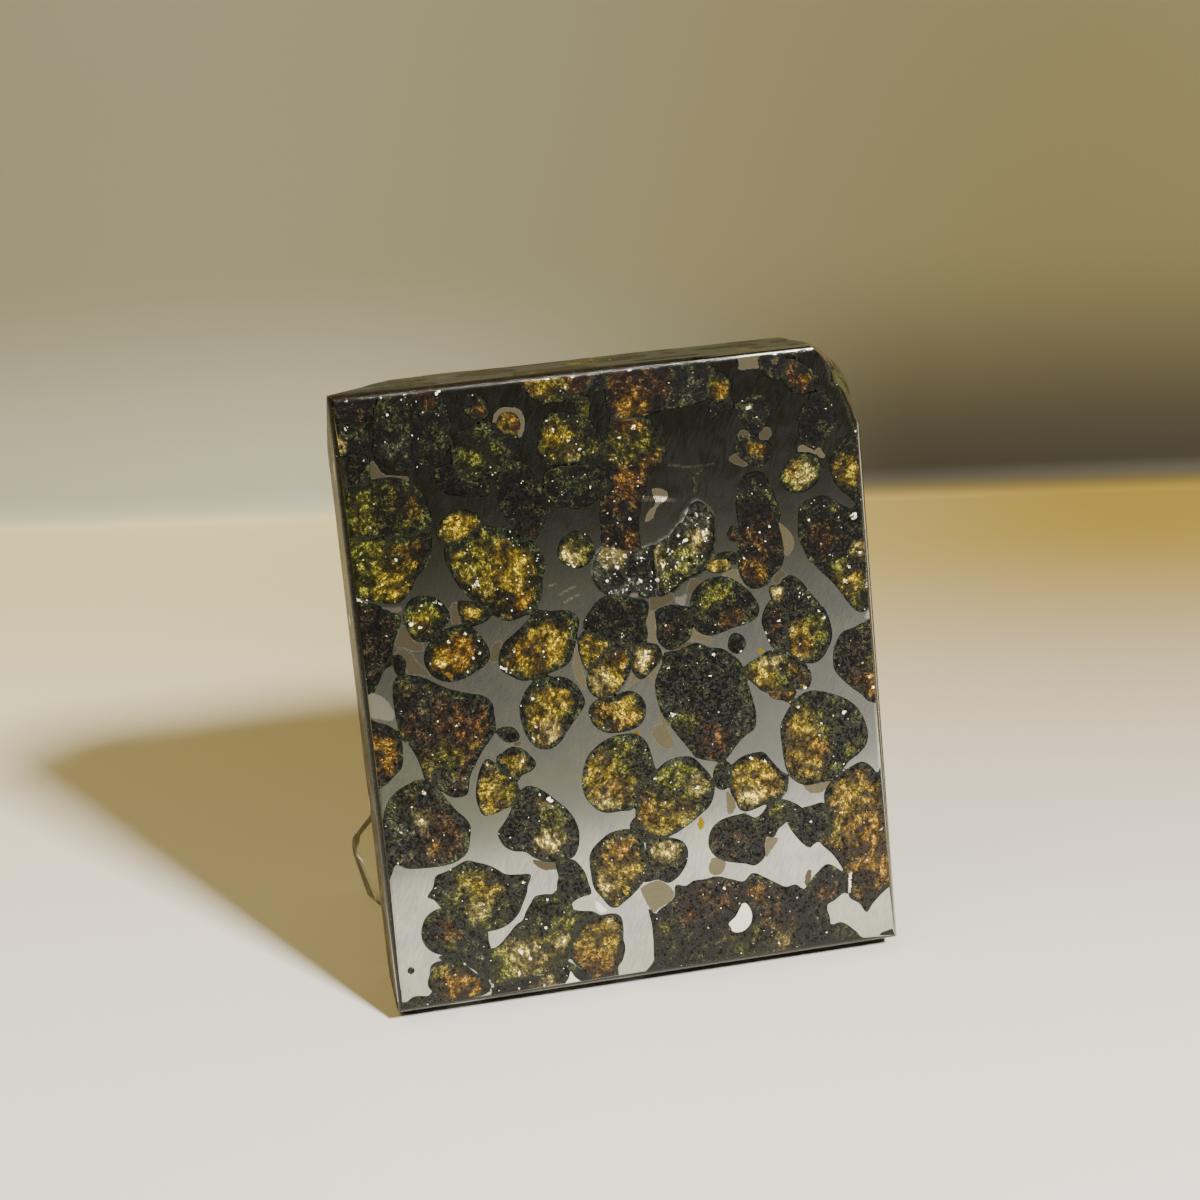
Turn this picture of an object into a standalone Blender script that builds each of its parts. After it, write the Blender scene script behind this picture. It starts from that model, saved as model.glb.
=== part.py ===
"""End cut of a pallasite meteorite, leaning back on a small clear acrylic prop.

The stone is modelled the way it was made: a lumpy natural nodule, sawn flat on
the front, the sides, the top and the bottom, with its edges eased and a small
flat spot ground under it. One corner and the back keep the natural skin.
The origin is the middle of the flat spot; +Y points away from the polished face.
"""
import math

import bmesh
import bpy
import numpy as np
from mathutils import Matrix, Vector, noise

MM = 0.001
CUT_TOLERANCE = 1e-7
WELD_DISTANCE = 1e-6

# The polished face, and the depth of the cut along its edges
FACE_WIDTH = 50.3 * MM
FACE_HEIGHT = 60.0 * MM
EDGE_DEPTH = 12.6 * MM
EDGE_BEVEL = 0.4 * MM

# How the stone stands
LEAN = math.radians(6.5)
FRONT_LIFT = 1.4 * MM
FOOT_START = 5.0 * MM
FOOT_MIDDLE = 8.7 * MM

# The natural skin: a bulged back, a rounded right corner that the polished face
# meets, and a left corner that is rounded only behind it
BACK_BULGE = 3.4 * MM
RIGHT_CORNER = (5.9 * MM, 11.6 * MM)
RIGHT_FLARE = 1.6 * MM
FLARE_DEPTH = 2.4 * MM
LEFT_CORNER = (8.5 * MM, 16.0 * MM)
SAW_ALLOWANCE = 2.0 * MM
CORNER_ALLOWANCE = 0.3 * MM
SKIN_GRID = 1.35 * MM
HOLLOW_SIZE = 9.0 * MM
HOLLOW_DEPTH = 1.1 * MM
HOLLOW_PLACE = Vector((3.1, 7.7, 1.9))
LUMP_SIZE = 5.0 * MM
LUMP_HEIGHT = 0.9 * MM
LUMP_STEEPNESS = 2.2
LUMP_PLACE = Vector((5.3, 0.4, 2.2))
BACK_SETBACK = 0.33 * MM
CORNER_ROUGHNESS = 0.6
CORNER_GROWTH = 0.75

# The prop: a clear sheet bent to a panel with two legs
SHEET = 2.5 * MM
PANEL_WIDTH = 42.0 * MM
PANEL_HEIGHT = 19.0 * MM
LEG_SPLAY = math.radians(18.5)
PROP_DEPTH = 17.4 * MM
FOOT_SETBACK = 3.4 * MM
KNEE_HEIGHT = 5.0 * MM
KNEE_REACH = 0.4 * MM
KNEE_RADIUS = 2.2 * MM
KNEE_STEPS = 8
TOP_SLOPE = math.radians(39.0)
BEND_RADIUS = 3.0 * MM
BEND_STEPS = 6
TOUCH_GAP = 0.3 * MM


def clear_scene():
    """Remove every object that the scene starts with."""
    for obj in list(bpy.data.objects):
        bpy.data.objects.remove(obj, do_unlink=True)


def new_collection(name):
    """Return a new collection linked to the scene."""
    collection = bpy.data.collections.new(name)
    bpy.context.scene.collection.children.link(collection)
    return collection


def principled(name, colour, metallic, roughness, transmission=0.0, ior=1.5):
    """Return a material with the given Principled values."""
    material = bpy.data.materials.new(name)
    material.use_nodes = True
    shader = material.node_tree.nodes["Principled BSDF"]
    shader.inputs["Base Color"].default_value = (*colour, 1.0)
    shader.inputs["Metallic"].default_value = metallic
    shader.inputs["Roughness"].default_value = roughness
    shader.inputs["Transmission Weight"].default_value = transmission
    shader.inputs["IOR"].default_value = ior
    return material


def link_object(name, mesh, collection, material):
    """Put a mesh in the scene as a named object with one material."""
    obj = bpy.data.objects.new(name, mesh)
    obj.data.materials.append(material)
    collection.objects.link(obj)
    return obj


def skin_relief(point):
    """Height of the natural skin at a point: broad hollows and olivine lumps."""
    hollow = noise.noise(point / HOLLOW_SIZE + HOLLOW_PLACE)
    cell = noise.voronoi(point / LUMP_SIZE + LUMP_PLACE)[0][0]
    lump = max(0.0, 1.0 - LUMP_STEEPNESS * cell * cell)
    return HOLLOW_DEPTH * hollow + LUMP_HEIGHT * lump


def block_corners():
    """Return the lowest and highest corner of the plain block around the stone."""
    low = Vector((-SAW_ALLOWANCE, -SAW_ALLOWANCE, -SAW_ALLOWANCE))
    high = Vector((FACE_WIDTH + CORNER_ALLOWANCE, EDGE_DEPTH, FACE_HEIGHT + CORNER_ALLOWANCE))
    return low, high


def round_off(x, z, corner, side, radii, inset):
    """Move a point near one upper corner of the block onto an elliptic corner.

    side is +1 for the right corner and -1 for the left one.
    """
    over_x = 1.0 - side * (corner[0] - x) / radii[0]
    over_z = 1.0 - (corner[1] - z) / radii[1]
    if over_x <= 0.0 or over_z <= 0.0:
        return x, z
    radial = max(over_x, over_z) / math.hypot(over_x, over_z)
    inset *= min(over_x, over_z) / max(over_x, over_z)
    x = corner[0] - side * (radii[0] - over_x * radial * (radii[0] - inset))
    z = corner[1] - radii[1] + over_z * radial * (radii[1] - inset)
    return x, z


def shape_nodule(co):
    """Move a point of the plain block onto the natural nodule.

    x and z are measured on the face from its lower left corner, y is the depth.
    """
    x, depth, z = co
    relief = skin_relief(co)
    across = 2.0 * x / FACE_WIDTH - 1.0
    upward = 2.0 * z / FACE_HEIGHT - 1.0
    dome = max(0.0, 1.0 - across * across) * max(0.0, 1.0 - upward * upward)
    backness = max(0.0, depth / EDGE_DEPTH)
    y = depth + backness * backness * (BACK_BULGE * dome + relief - BACK_SETBACK)

    low, high = block_corners()
    flare = RIGHT_FLARE * max(0.0, 1.0 - depth / FLARE_DEPTH) ** 2
    x, z = round_off(x, z, (high.x, high.z), 1.0, RIGHT_CORNER, flare - CORNER_ROUGHNESS * relief)
    growth = backness ** CORNER_GROWTH
    left_radii = [SAW_ALLOWANCE + reach * growth for reach in LEFT_CORNER]
    x, z = round_off(x, z, (low.x, high.z), -1.0, left_radii, -CORNER_ROUGHNESS * relief * growth)
    return Vector((x, y, z))


def saw(bm, point, outward):
    """Cut the solid by a plane, throw away the outward side and close the cut."""
    everything = bm.verts[:] + bm.edges[:] + bm.faces[:]
    cut = bmesh.ops.bisect_plane(bm, geom=everything, dist=CUT_TOLERANCE, plane_co=point,
                                 plane_no=outward, clear_outer=True)
    edges = [item for item in cut["geom_cut"] if isinstance(item, bmesh.types.BMEdge)]
    bmesh.ops.contextual_create(bm, geom=edges)


def nodule_block():
    """Return a bmesh of the natural nodule, larger than the sawn stone all round."""
    low, high = block_corners()
    size = high - low
    bm = bmesh.new()
    bmesh.ops.create_cube(bm, size=1.0)
    bmesh.ops.scale(bm, vec=size, verts=bm.verts)
    bmesh.ops.translate(bm, vec=(low + high) / 2.0, verts=bm.verts)
    for axis in range(3):
        step = Vector([float(index == axis) for index in range(3)])
        cuts = int(size[axis] / SKIN_GRID)
        for index in range(1, cuts):
            at = low + step * (size[axis] * index / cuts)
            everything = bm.verts[:] + bm.edges[:] + bm.faces[:]
            bmesh.ops.bisect_plane(bm, geom=everything, dist=CUT_TOLERANCE, plane_co=at, plane_no=step)
    for vert in bm.verts:
        vert.co = shape_nodule(vert.co.copy())
    return bm


def make_end_cut(collection):
    """Make the sawn and polished stone, leaning back on its flat spot."""
    bm = nodule_block()
    left, right = Vector((-1.0, 0.0, 0.0)), Vector((1.0, 0.0, 0.0))
    front = Vector((0.0, -1.0, 0.0))
    down, up = Vector((0.0, 0.0, -1.0)), Vector((0.0, 0.0, 1.0))
    low_corner = Vector((0.0, 0.0, 0.0))
    high_corner = Vector((FACE_WIDTH, 0.0, FACE_HEIGHT))

    saw(bm, low_corner, front)
    for corner, outward in ((low_corner, left), (high_corner, right), (high_corner, up)):
        saw(bm, corner, outward)

    upright = Matrix.Rotation(LEAN, 3, "X")
    foot_front = upright @ Vector((0.0, FOOT_START, -FRONT_LIFT))
    lift_slope = math.atan2(FRONT_LIFT, FOOT_START)
    saw(bm, foot_front, upright @ down)
    saw(bm, low_corner, upright @ Vector((0.0, -math.sin(lift_slope), -math.cos(lift_slope))))

    for corner, outward in ((low_corner, left), (high_corner, right), (high_corner, up), (low_corner, down)):
        saw(bm, corner - outward * EDGE_BEVEL, (outward + front).normalized())

    bmesh.ops.translate(bm, vec=(-FACE_WIDTH / 2.0, 0.0, 0.0), verts=bm.verts)
    bmesh.ops.triangulate(bm, faces=[face for face in bm.faces if len(face.verts) > 4])
    bmesh.ops.recalc_face_normals(bm, faces=bm.faces)
    mesh = bpy.data.meshes.new("end_cut")
    bm.to_mesh(mesh)
    bm.free()
    stone = link_object("end_cut", mesh, collection,
                        principled("iron_nickel_with_olivine", (0.20, 0.20, 0.15), 0.6, 0.35))
    stone.rotation_euler = (-LEAN, 0.0, 0.0)
    stone.location = (0.0, -FOOT_MIDDLE, FRONT_LIFT)
    bpy.context.view_layer.update()
    return stone


def back_of_stone(stone):
    """Return how far back the leaning stone reaches below the top of the prop."""
    points = [stone.matrix_world @ vert.co for vert in stone.data.vertices]
    return max(point.y for point in points if point.z < PANEL_HEIGHT + SKIN_GRID)


def arc(centre, radius, start, end, count):
    """Return points of a circular arc between two angles in radians."""
    angles = np.linspace(start, end, count)
    return [Vector((centre[0] + radius * math.cos(a), centre[1] + radius * math.sin(a))) for a in angles]


def round_corner(before, corner, after, radius, count=BEND_STEPS):
    """Return the points of a fillet at the corner of a path."""
    back = (before - corner).normalized()
    ahead = (after - corner).normalized()
    half = back.angle(ahead) / 2.0
    reach = radius / math.tan(half)
    centre = corner + (back + ahead).normalized() * (radius / math.sin(half))
    start = corner + back * reach - centre
    end = corner + ahead * reach - centre
    first = math.atan2(start.y, start.x)
    turn = math.remainder(math.atan2(end.y, end.x) - first, 2.0 * math.pi)
    return arc(centre, radius, first, first + turn, count)


def prism(name, outline, thickness, turn, location):
    """Return a mesh object: a flat outline extruded to both sides of its plane."""
    curve = bpy.data.curves.new(name, "CURVE")
    curve.dimensions = "2D"
    curve.fill_mode = "BOTH"
    curve.extrude = thickness / 2.0
    spline = curve.splines.new("POLY")
    spline.points.add(len(outline) - 1)
    for point, (x, y) in zip(spline.points, outline):
        point.co = (x, y, 0.0, 1.0)
    spline.use_cyclic_u = True
    drawn = bpy.data.objects.new(name + "_outline", curve)
    bpy.context.scene.collection.objects.link(drawn)
    drawn.rotation_euler = turn
    drawn.location = location
    bpy.context.view_layer.update()
    solid = drawn.evaluated_get(bpy.context.evaluated_depsgraph_get())
    mesh = bpy.data.meshes.new_from_object(solid)
    mesh.transform(drawn.matrix_world)
    bpy.data.objects.remove(drawn, do_unlink=True)
    bm = bmesh.new()
    bm.from_mesh(mesh)
    bmesh.ops.remove_doubles(bm, verts=bm.verts, dist=WELD_DISTANCE)
    bmesh.ops.recalc_face_normals(bm, faces=bm.faces)
    bm.to_mesh(mesh)
    bm.free()
    return mesh


def sheet_plan():
    """Outline, seen from above, of the bent sheet: a panel and two splayed legs."""
    half = PANEL_WIDTH / 2.0
    spread = PROP_DEPTH * math.tan(LEG_SPLAY)
    side = SHEET / math.cos(LEG_SPLAY)
    shoulder = SHEET * math.tan(math.pi / 4.0 - LEG_SPLAY / 2.0)
    outer = [Vector((-half - spread, PROP_DEPTH)), Vector((-half, 0.0)), Vector((half, 0.0)),
             Vector((half + spread, PROP_DEPTH))]
    inner_half = half - shoulder
    inner = [Vector((half + spread - side, PROP_DEPTH)), Vector((inner_half, SHEET)),
             Vector((-inner_half, SHEET)), Vector((-half - spread + side, PROP_DEPTH))]
    outline = [outer[0]]
    outline += round_corner(outer[0], outer[1], outer[2], BEND_RADIUS)
    outline += round_corner(outer[1], outer[2], outer[3], BEND_RADIUS)
    outline += [outer[3], inner[0]]
    outline += round_corner(inner[0], inner[1], inner[2], BEND_RADIUS - SHEET)
    outline += round_corner(inner[1], inner[2], inner[3], BEND_RADIUS - SHEET)
    outline += [inner[3]]
    return outline


def leg_profile():
    """Outline, seen from the side, that the bent sheet is trimmed to."""
    foot = Vector((PROP_DEPTH - FOOT_SETBACK, 0.0))
    knee = Vector((PROP_DEPTH + KNEE_REACH, KNEE_HEIGHT))
    run = (PANEL_HEIGHT - KNEE_HEIGHT) / math.tan(TOP_SLOPE)
    shoulder = Vector((knee.x - run, PANEL_HEIGHT))
    outline = [Vector((-SHEET, 0.0)), foot]
    outline += round_corner(foot, knee, shoulder, KNEE_RADIUS, KNEE_STEPS)
    outline += [shoulder, Vector((-SHEET, PANEL_HEIGHT))]
    return outline


def make_prop(collection, cutters, front_y):
    """Make the clear prop, its panel standing just behind the stone."""
    sheet = prism("prop", sheet_plan(), PANEL_HEIGHT + 2.0 * SHEET, (0.0, 0.0, 0.0),
                  (0.0, front_y, PANEL_HEIGHT / 2.0))
    prop = link_object("prop", sheet, collection,
                       principled("clear_acrylic", (0.95, 0.95, 0.93), 0.0, 0.05, 1.0, 1.49))
    width = 2.0 * (PANEL_WIDTH + PROP_DEPTH)
    trim = prism("prop_trim", leg_profile(), width, (math.pi / 2.0, 0.0, math.pi / 2.0), (0.0, front_y, 0.0))
    trimmer = bpy.data.objects.new("prop_trim", trim)
    cutters.objects.link(trimmer)
    trimmer.hide_render = True
    trimmer.display_type = "WIRE"
    boolean = prop.modifiers.new("trim", "BOOLEAN")
    boolean.operation = "INTERSECT"
    boolean.solver = "EXACT"
    boolean.object = trimmer
    return prop


def main():
    """Build the stone and its prop."""
    clear_scene()
    collection = new_collection("pallasite_end_cut")
    cutters = new_collection("cutters")
    stone = make_end_cut(collection)
    make_prop(collection, cutters, back_of_stone(stone) + TOUCH_GAP)


main()
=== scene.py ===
"""Pallasite meteorite end cut leaning on a clear acrylic prop.

The sawn and polished face shows olivine crystals in an iron-nickel matrix; the
back and the upper right corner keep the natural weathered skin.
"""

import logging
import math
from collections.abc import Sequence
from dataclasses import dataclass, field
from enum import Enum

import bmesh
import bpy
import numpy as np
from mathutils import Matrix, Vector, noise


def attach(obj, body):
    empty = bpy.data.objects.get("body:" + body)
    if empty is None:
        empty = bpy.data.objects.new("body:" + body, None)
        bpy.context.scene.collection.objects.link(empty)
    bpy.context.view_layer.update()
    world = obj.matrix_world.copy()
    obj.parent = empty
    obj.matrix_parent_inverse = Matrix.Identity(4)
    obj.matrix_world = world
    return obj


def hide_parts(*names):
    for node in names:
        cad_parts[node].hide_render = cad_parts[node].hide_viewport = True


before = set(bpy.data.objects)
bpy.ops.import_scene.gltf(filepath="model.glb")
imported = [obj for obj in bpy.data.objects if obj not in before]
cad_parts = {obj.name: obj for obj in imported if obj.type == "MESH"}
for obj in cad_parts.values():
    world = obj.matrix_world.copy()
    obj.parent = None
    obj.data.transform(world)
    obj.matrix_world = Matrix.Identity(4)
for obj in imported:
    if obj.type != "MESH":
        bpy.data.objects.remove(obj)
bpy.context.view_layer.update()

LOG = logging.getLogger("pallasite")
MM = 0.001
IMAGE_SIDE = 1200.0
SENSOR_WIDTH = 36.0

Point = tuple[float, float]
Tint = tuple["Tone", float]


def linear(hex_colour: str) -> tuple[float, float, float, float]:
    """Turn an sRGB hex colour into linear RGBA.

    Args:
        hex_colour: Colour as "#rrggbb".

    Returns:
        The linear red, green, blue and alpha.
    """
    channels = [int(hex_colour[start:start + 2], 16) / 255.0 for start in (1, 3, 5)]
    light = [c / 12.92 if c <= 0.04045 else ((c + 0.055) / 1.055) ** 2.4 for c in channels]
    return (light[0], light[1], light[2], 1.0)


def per_metre(size_mm: float) -> float:
    """Return the pattern scale on Object coordinates whose cells are size_mm wide."""
    return 1.0 / (size_mm * MM)


class Tone(Enum):
    """Colours seen in the crystals, as sRGB hex values."""

    BOTTLE = "#1a2210"
    BLACK_GREEN = "#070905"
    OLIVE = "#4e5014"
    GOLD = "#7d6a13"
    AMBER = "#6e500c"
    RUST = "#3e2609"
    MAROON = "#1e1510"
    SLATE = "#2a3026"
    CREAM = "#b8a65a"
    TAN = "#4a473a"
    PALE_TAN = "#605c4a"


class Part(Enum):
    """What a drawn outline on the sawn face is made of."""

    OLIVINE = "rim"
    PHOSPHIDE = "tan_rim"
    # Bright metal, and highlights painted as bright metal.
    BRIGHT_METAL_AND_HIGHLIGHT = "bright_and_highlight_rim"


@dataclass(frozen=True)
class Grain:
    """One crystal on the sawn face.

    Outline and zones are in mm on the face: right and up from its lower left corner.
    """

    name: str
    tone: Tone
    # rim: width in mm of the dark shade painted along the crystal's border.
    rim: float
    glow: float
    # sparkle: chance of white glints painted into the crystal as highlights; above 0.9 it also sinks real pits.
    sparkle: float
    outline: tuple[Point, ...]
    zones: tuple[tuple[float, float, float, Tone, float], ...] = ()


@dataclass(frozen=True)
class Patch:
    """A patch of phosphide or bare bright metal beside the crystals, in mm on the face; some bright metal patches are
    painted highlights.
    """

    part: Part
    tone: Tone
    outline: tuple[Point, ...]


GRAINS = (
    Grain("large_olive_upper", Tone.OLIVE, 0.5, 0.5, 0.2,
          ((-0.8, 50.4), (2.0, 51.7), (5.0, 51.9), (6.6, 51.2), (7.8, 49.9), (8.2, 48.4), (8.0, 46.9), (5.4, 46.3),
           (2.6, 46.7), (-0.8, 46.4)),
          ((4.4, 48.1, 1.7, Tone.BLACK_GREEN, 0.15), (1.6, 49.4, 1.4, Tone.OLIVE, 0.6),
           (6.6, 49.6, 1.2, Tone.RUST, 0.45))),
    Grain("large_olive_lower", Tone.OLIVE, 0.35, 0.7, 0.3,
          ((-0.8, 46.3), (2.6, 46.6), (5.4, 46.2), (7.9, 46.7), (8.0, 44.9), (7.6, 43.6), (6.9, 42.9), (6.2, 42.2),
           (5.7, 41.3), (5.1, 40.6), (4.2, 40.1), (2.6, 40.4), (1.0, 40.9), (-0.8, 41.2)),
          ((6.2, 44.6, 1.3, Tone.RUST, 0.55), (4.6, 41.9, 1.7, Tone.GOLD, 0.85), (1.6, 44.0, 1.5, Tone.OLIVE, 0.75),
           (5.0, 43.6, 0.8, Tone.BLACK_GREEN, 0.2))),
    Grain("maroon_corner", Tone.MAROON, 0.3, 1.1, 0.05,
          ((-0.8, 60.8), (3.6, 60.8), (4.2, 59.4), (3.95, 58.2), (3.25, 57.0), (2.65, 56.75), (1.8, 57.2),
           (0.85, 57.45), (-0.8, 57.6)), ()),
    Grain("grey_green_corner", Tone.SLATE, 0.3, 0.55, 0.5,
          ((-0.8, 57.4), (1.0, 57.3), (2.0, 57.0), (2.9, 56.6), (3.4, 56.0), (3.2, 55.4), (2.4, 54.7), (1.4, 54.3),
           (0.4, 54.5), (-0.8, 55.0)), ((0.6, 55.5, 0.35, Tone.CREAM, 1.0),)),
    Grain("large_dark_green", Tone.BOTTLE, 0.5, 0.4, 0.8,
          ((5.2, 61.0), (9.9, 61.0), (10.5, 58.9), (10.9, 57.3), (10.9, 55.0), (10.5, 53.8), (9.9, 53.1), (9.0, 52.7),
           (7.7, 52.5), (6.6, 52.4), (5.4, 52.6), (4.3, 53.2), (3.6, 54.2), (3.8, 55.5), (3.9, 56.9), (4.1, 58.0),
           (4.6, 59.2)),
          ((9.5, 59.2, 0.9, Tone.RUST, 0.8), (8.1, 56.2, 0.4, Tone.BLACK_GREEN, 0.1),
           (6.2, 54.6, 1.2, Tone.SLATE, 0.5))),
    Grain("dark_green_oval", Tone.BOTTLE, 0.6, 0.45, 0.5,
          ((11.0, 54.7), (11.8, 55.4), (13.6, 55.95), (15.0, 55.9), (16.2, 55.2), (17.2, 54.4), (17.0, 52.9),
           (16.1, 51.9), (14.2, 50.9), (12.9, 50.8), (11.8, 50.9), (10.9, 52.2), (10.8, 53.6)),
          ((13.2, 52.8, 1.2, Tone.OLIVE, 0.6),)),
    Grain("slate_patch", Tone.BLACK_GREEN, 0.2, 0.5, 0.05,
          ((9.1, 52.0), (10.0, 52.5), (10.9, 52.4), (11.7, 51.1), (13.0, 50.6), (14.0, 50.5), (13.8, 49.3),
           (12.7, 49.2), (11.2, 49.5), (10.0, 49.8), (9.4, 50.5)), ()),
    Grain("brown_green_oval", Tone.BOTTLE, 0.3, 0.6, 0.2,
          ((12.4, 58.2), (13.0, 58.8), (13.8, 58.7), (14.7, 57.7), (14.7, 56.8), (13.9, 56.2), (13.0, 56.6),
           (12.5, 57.3)), ((14.1, 57.0, 0.6, Tone.RUST, 0.7),)),
    Grain("orange_ring", Tone.AMBER, 0.1, 1.6, 0.0,
          ((15.3, 55.6), (15.6, 56.4), (16.4, 56.75), (17.2, 56.4), (17.5, 55.6), (17.2, 54.8), (16.4, 54.5),
           (15.6, 54.8)), ((16.2, 55.5, 0.5, Tone.OLIVE, 1.0), (16.5, 55.6, 0.16, Tone.CREAM, 1.0),
                           (17.1, 55.8, 0.5, Tone.AMBER, 1.6))),
    Grain("dark_sliver", Tone.BLACK_GREEN, 0.2, 0.4, 0.1,
          ((1.4, 54.0), (2.4, 54.3), (3.1, 54.0), (3.1, 52.5), (2.7, 51.6), (1.6, 51.5), (1.1, 52.4)), ()),
    Grain("bright_gold", Tone.GOLD, 0.15, 1.0, 0.3,
          ((8.6, 46.2), (9.2, 47.2), (10.3, 48.0), (11.5, 48.1), (12.6, 47.4), (12.7, 46.6), (11.9, 46.0),
           (11.2, 45.5), (10.0, 45.2), (9.0, 45.5)), ((9.3, 46.0, 0.6, Tone.OLIVE, 0.6),)),
    Grain("black_green_tall", Tone.BLACK_GREEN, 0.4, 0.5, 0.5,
          ((14.8, 50.4), (15.4, 51.4), (16.2, 51.9), (17.4, 51.9), (18.3, 50.5), (19.1, 49.2), (19.6, 48.0),
           (19.3, 46.9), (18.5, 45.4), (17.6, 44.5), (16.6, 44.8), (15.9, 46.0), (15.0, 47.3), (14.7, 48.8)),
          ((17.3, 45.8, 0.9, Tone.RUST, 0.5), (18.5, 51.0, 0.7, Tone.AMBER, 0.5))),
    Grain("green_yellow_glints", Tone.OLIVE, 0.35, 0.55, 0.8,
          ((20.2, 56.0), (21.2, 56.3), (22.6, 55.9), (24.0, 55.2), (24.6, 54.0), (25.1, 52.8), (24.4, 51.6),
           (22.5, 51.3), (20.2, 51.3), (19.2, 52.2), (19.0, 53.6), (19.5, 55.1)),
          ((21.0, 53.6, 1.0, Tone.GOLD, 0.7), (21.8, 52.4, 0.6, Tone.CREAM, 0.4), (24.0, 53.9, 1.0, Tone.BLACK_GREEN, 0.2))),
    Grain("black_green_middle", Tone.BLACK_GREEN, 0.4, 0.5, 0.8,
          ((19.6, 50.9), (21.6, 51.1), (23.9, 50.9), (25.0, 50.2), (25.2, 49.2), (24.7, 48.2), (23.5, 47.3),
           (22.0, 47.0), (20.5, 47.4), (19.5, 48.3), (19.2, 49.8)), ((22.4, 49.0, 1.0, Tone.BOTTLE, 0.6),)),
    Grain("brown_gold_top", Tone.RUST, 0.35, 0.7, 0.5,
          ((17.2, 61.0), (24.9, 61.0), (25.0, 59.4), (24.4, 58.2), (23.6, 57.4), (21.5, 57.2), (19.5, 57.3),
           (18.5, 58.3), (17.6, 59.6)),
          ((20.0, 59.2, 0.9, Tone.GOLD, 0.5), (21.4, 58.0, 1.1, Tone.OLIVE, 0.4), (23.4, 59.0, 0.9, Tone.RUST, 0.7))),
    Grain("black_bit", Tone.BLACK_GREEN, 0.1, 0.3, 0.2,
          ((24.4, 58.4), (25.2, 57.8), (25.9, 58.3), (25.8, 59.3), (24.9, 59.4)), ()),
    Grain("pale_green_patch", Tone.OLIVE, 0.1, 0.9, 0.2,
          ((22.9, 57.1), (24.3, 57.3), (24.2, 56.2), (23.9, 55.4), (23.0, 55.7)), ()),
    Grain("long_maroon", Tone.MAROON, 0.3, 1.1, 0.1,
          ((25.9, 59.3), (27.0, 59.8), (31.0, 59.8), (35.0, 59.7), (36.2, 59.0), (36.4, 57.8), (35.6, 56.1),
           (34.0, 55.5), (31.2, 55.3), (28.7, 54.9), (26.5, 54.7), (25.9, 55.8), (25.8, 57.4)),
          ((28.2, 56.3, 0.9, Tone.AMBER, 1.0), (27.2, 58.5, 1.2, Tone.RUST, 0.6), (30.6, 57.8, 1.3, Tone.RUST, 0.5),
           (33.2, 57.2, 0.9, Tone.SLATE, 0.7), (33.4, 59.1, 1.0, Tone.BOTTLE, 0.6))),
    Grain("rusty_strand", Tone.RUST, 0.2, 0.6, 0.9,
          ((26.3, 55.2), (25.9, 54.0), (25.3, 52.7), (24.9, 51.5), (25.3, 50.3), (25.6, 49.1), (25.4, 48.2),
           (24.5, 47.5), (24.2, 46.2), (24.2, 44.7), (24.2, 43.1), (26.0, 42.3), (27.7, 42.3), (27.8, 44.4),
           (28.1, 46.1), (28.6, 47.6), (29.1, 48.9), (30.0, 50.1), (30.9, 51.0), (31.2, 52.1), (30.9, 52.9),
           (30.1, 53.7), (29.5, 54.7)),
          ((28.1, 54.3, 0.6, Tone.AMBER, 1.2), (26.7, 52.0, 1.2, Tone.OLIVE, 0.4), (29.4, 52.1, 1.2, Tone.OLIVE, 0.55),
           (27.6, 49.2, 1.1, Tone.RUST, 1.1), (29.8, 50.5, 0.9, Tone.RUST, 1.0), (26.1, 45.2, 1.6, Tone.MAROON, 0.6),
           (27.3, 43.6, 0.7, Tone.RUST, 1.2))),
    Grain("orange_centre_green", Tone.BOTTLE, 0.25, 0.8, 0.2,
          ((35.3, 57.7), (35.9, 58.4), (37.0, 58.3), (37.8, 57.4), (37.8, 56.2), (36.9, 55.5), (36.0, 55.7),
           (35.4, 56.6)), ((36.7, 56.6, 0.6, Tone.AMBER, 1.0), (36.2, 57.4, 0.5, Tone.OLIVE, 0.9))),
    Grain("small_black", Tone.BLACK_GREEN, 0.15, 0.3, 0.3,
          ((35.1, 54.9), (35.6, 55.4), (36.3, 55.3), (36.5, 54.6), (36.0, 54.2), (35.3, 54.4)), ()),
    Grain("small_red_brown", Tone.RUST, 0.15, 0.6, 0.1,
          ((37.1, 55.2), (37.6, 55.8), (38.0, 55.4), (37.8, 54.8), (37.3, 54.7)), ()),
    Grain("twin_brown_left", Tone.MAROON, 0.3, 0.6, 0.2,
          ((40.7, 58.9), (41.2, 59.5), (42.2, 59.7), (43.3, 59.2), (43.6, 58.3), (43.0, 57.2), (42.2, 57.1),
           (41.2, 57.6)), ()),
    Grain("twin_brown_right", Tone.RUST, 0.3, 0.65, 0.2,
          ((43.5, 58.6), (44.3, 58.7), (45.3, 58.0), (46.3, 57.0), (46.3, 56.0), (45.2, 55.4), (44.1, 55.5),
           (43.2, 56.4), (43.1, 57.5)), ((45.2, 56.3, 0.6, Tone.AMBER, 0.4),)),
    Grain("top_red_brown", Tone.MAROON, 0.15, 0.5, 0.2,
          ((43.9, 59.2), (44.4, 59.8), (45.3, 59.7), (45.5, 59.1), (44.8, 58.8)), ()),
    Grain("very_dark_oval", Tone.BLACK_GREEN, 0.3, 0.35, 0.15,
          ((45.0, 54.5), (45.8, 55.4), (46.8, 55.2), (47.6, 53.9), (47.8, 52.6), (47.2, 51.4), (45.9, 50.3),
           (44.8, 50.3), (44.2, 51.4), (44.3, 53.2)), ()),
    Grain("dark_triangle", Tone.BLACK_GREEN, 0.3, 0.5, 0.6,
          ((38.1, 55.0), (39.2, 55.5), (40.4, 55.8), (41.4, 54.7), (41.4, 53.6), (40.6, 52.5), (39.7, 51.8),
           (39.0, 52.8), (38.3, 54.2)), ((39.8, 54.2, 0.7, Tone.BOTTLE, 0.7),)),
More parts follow.
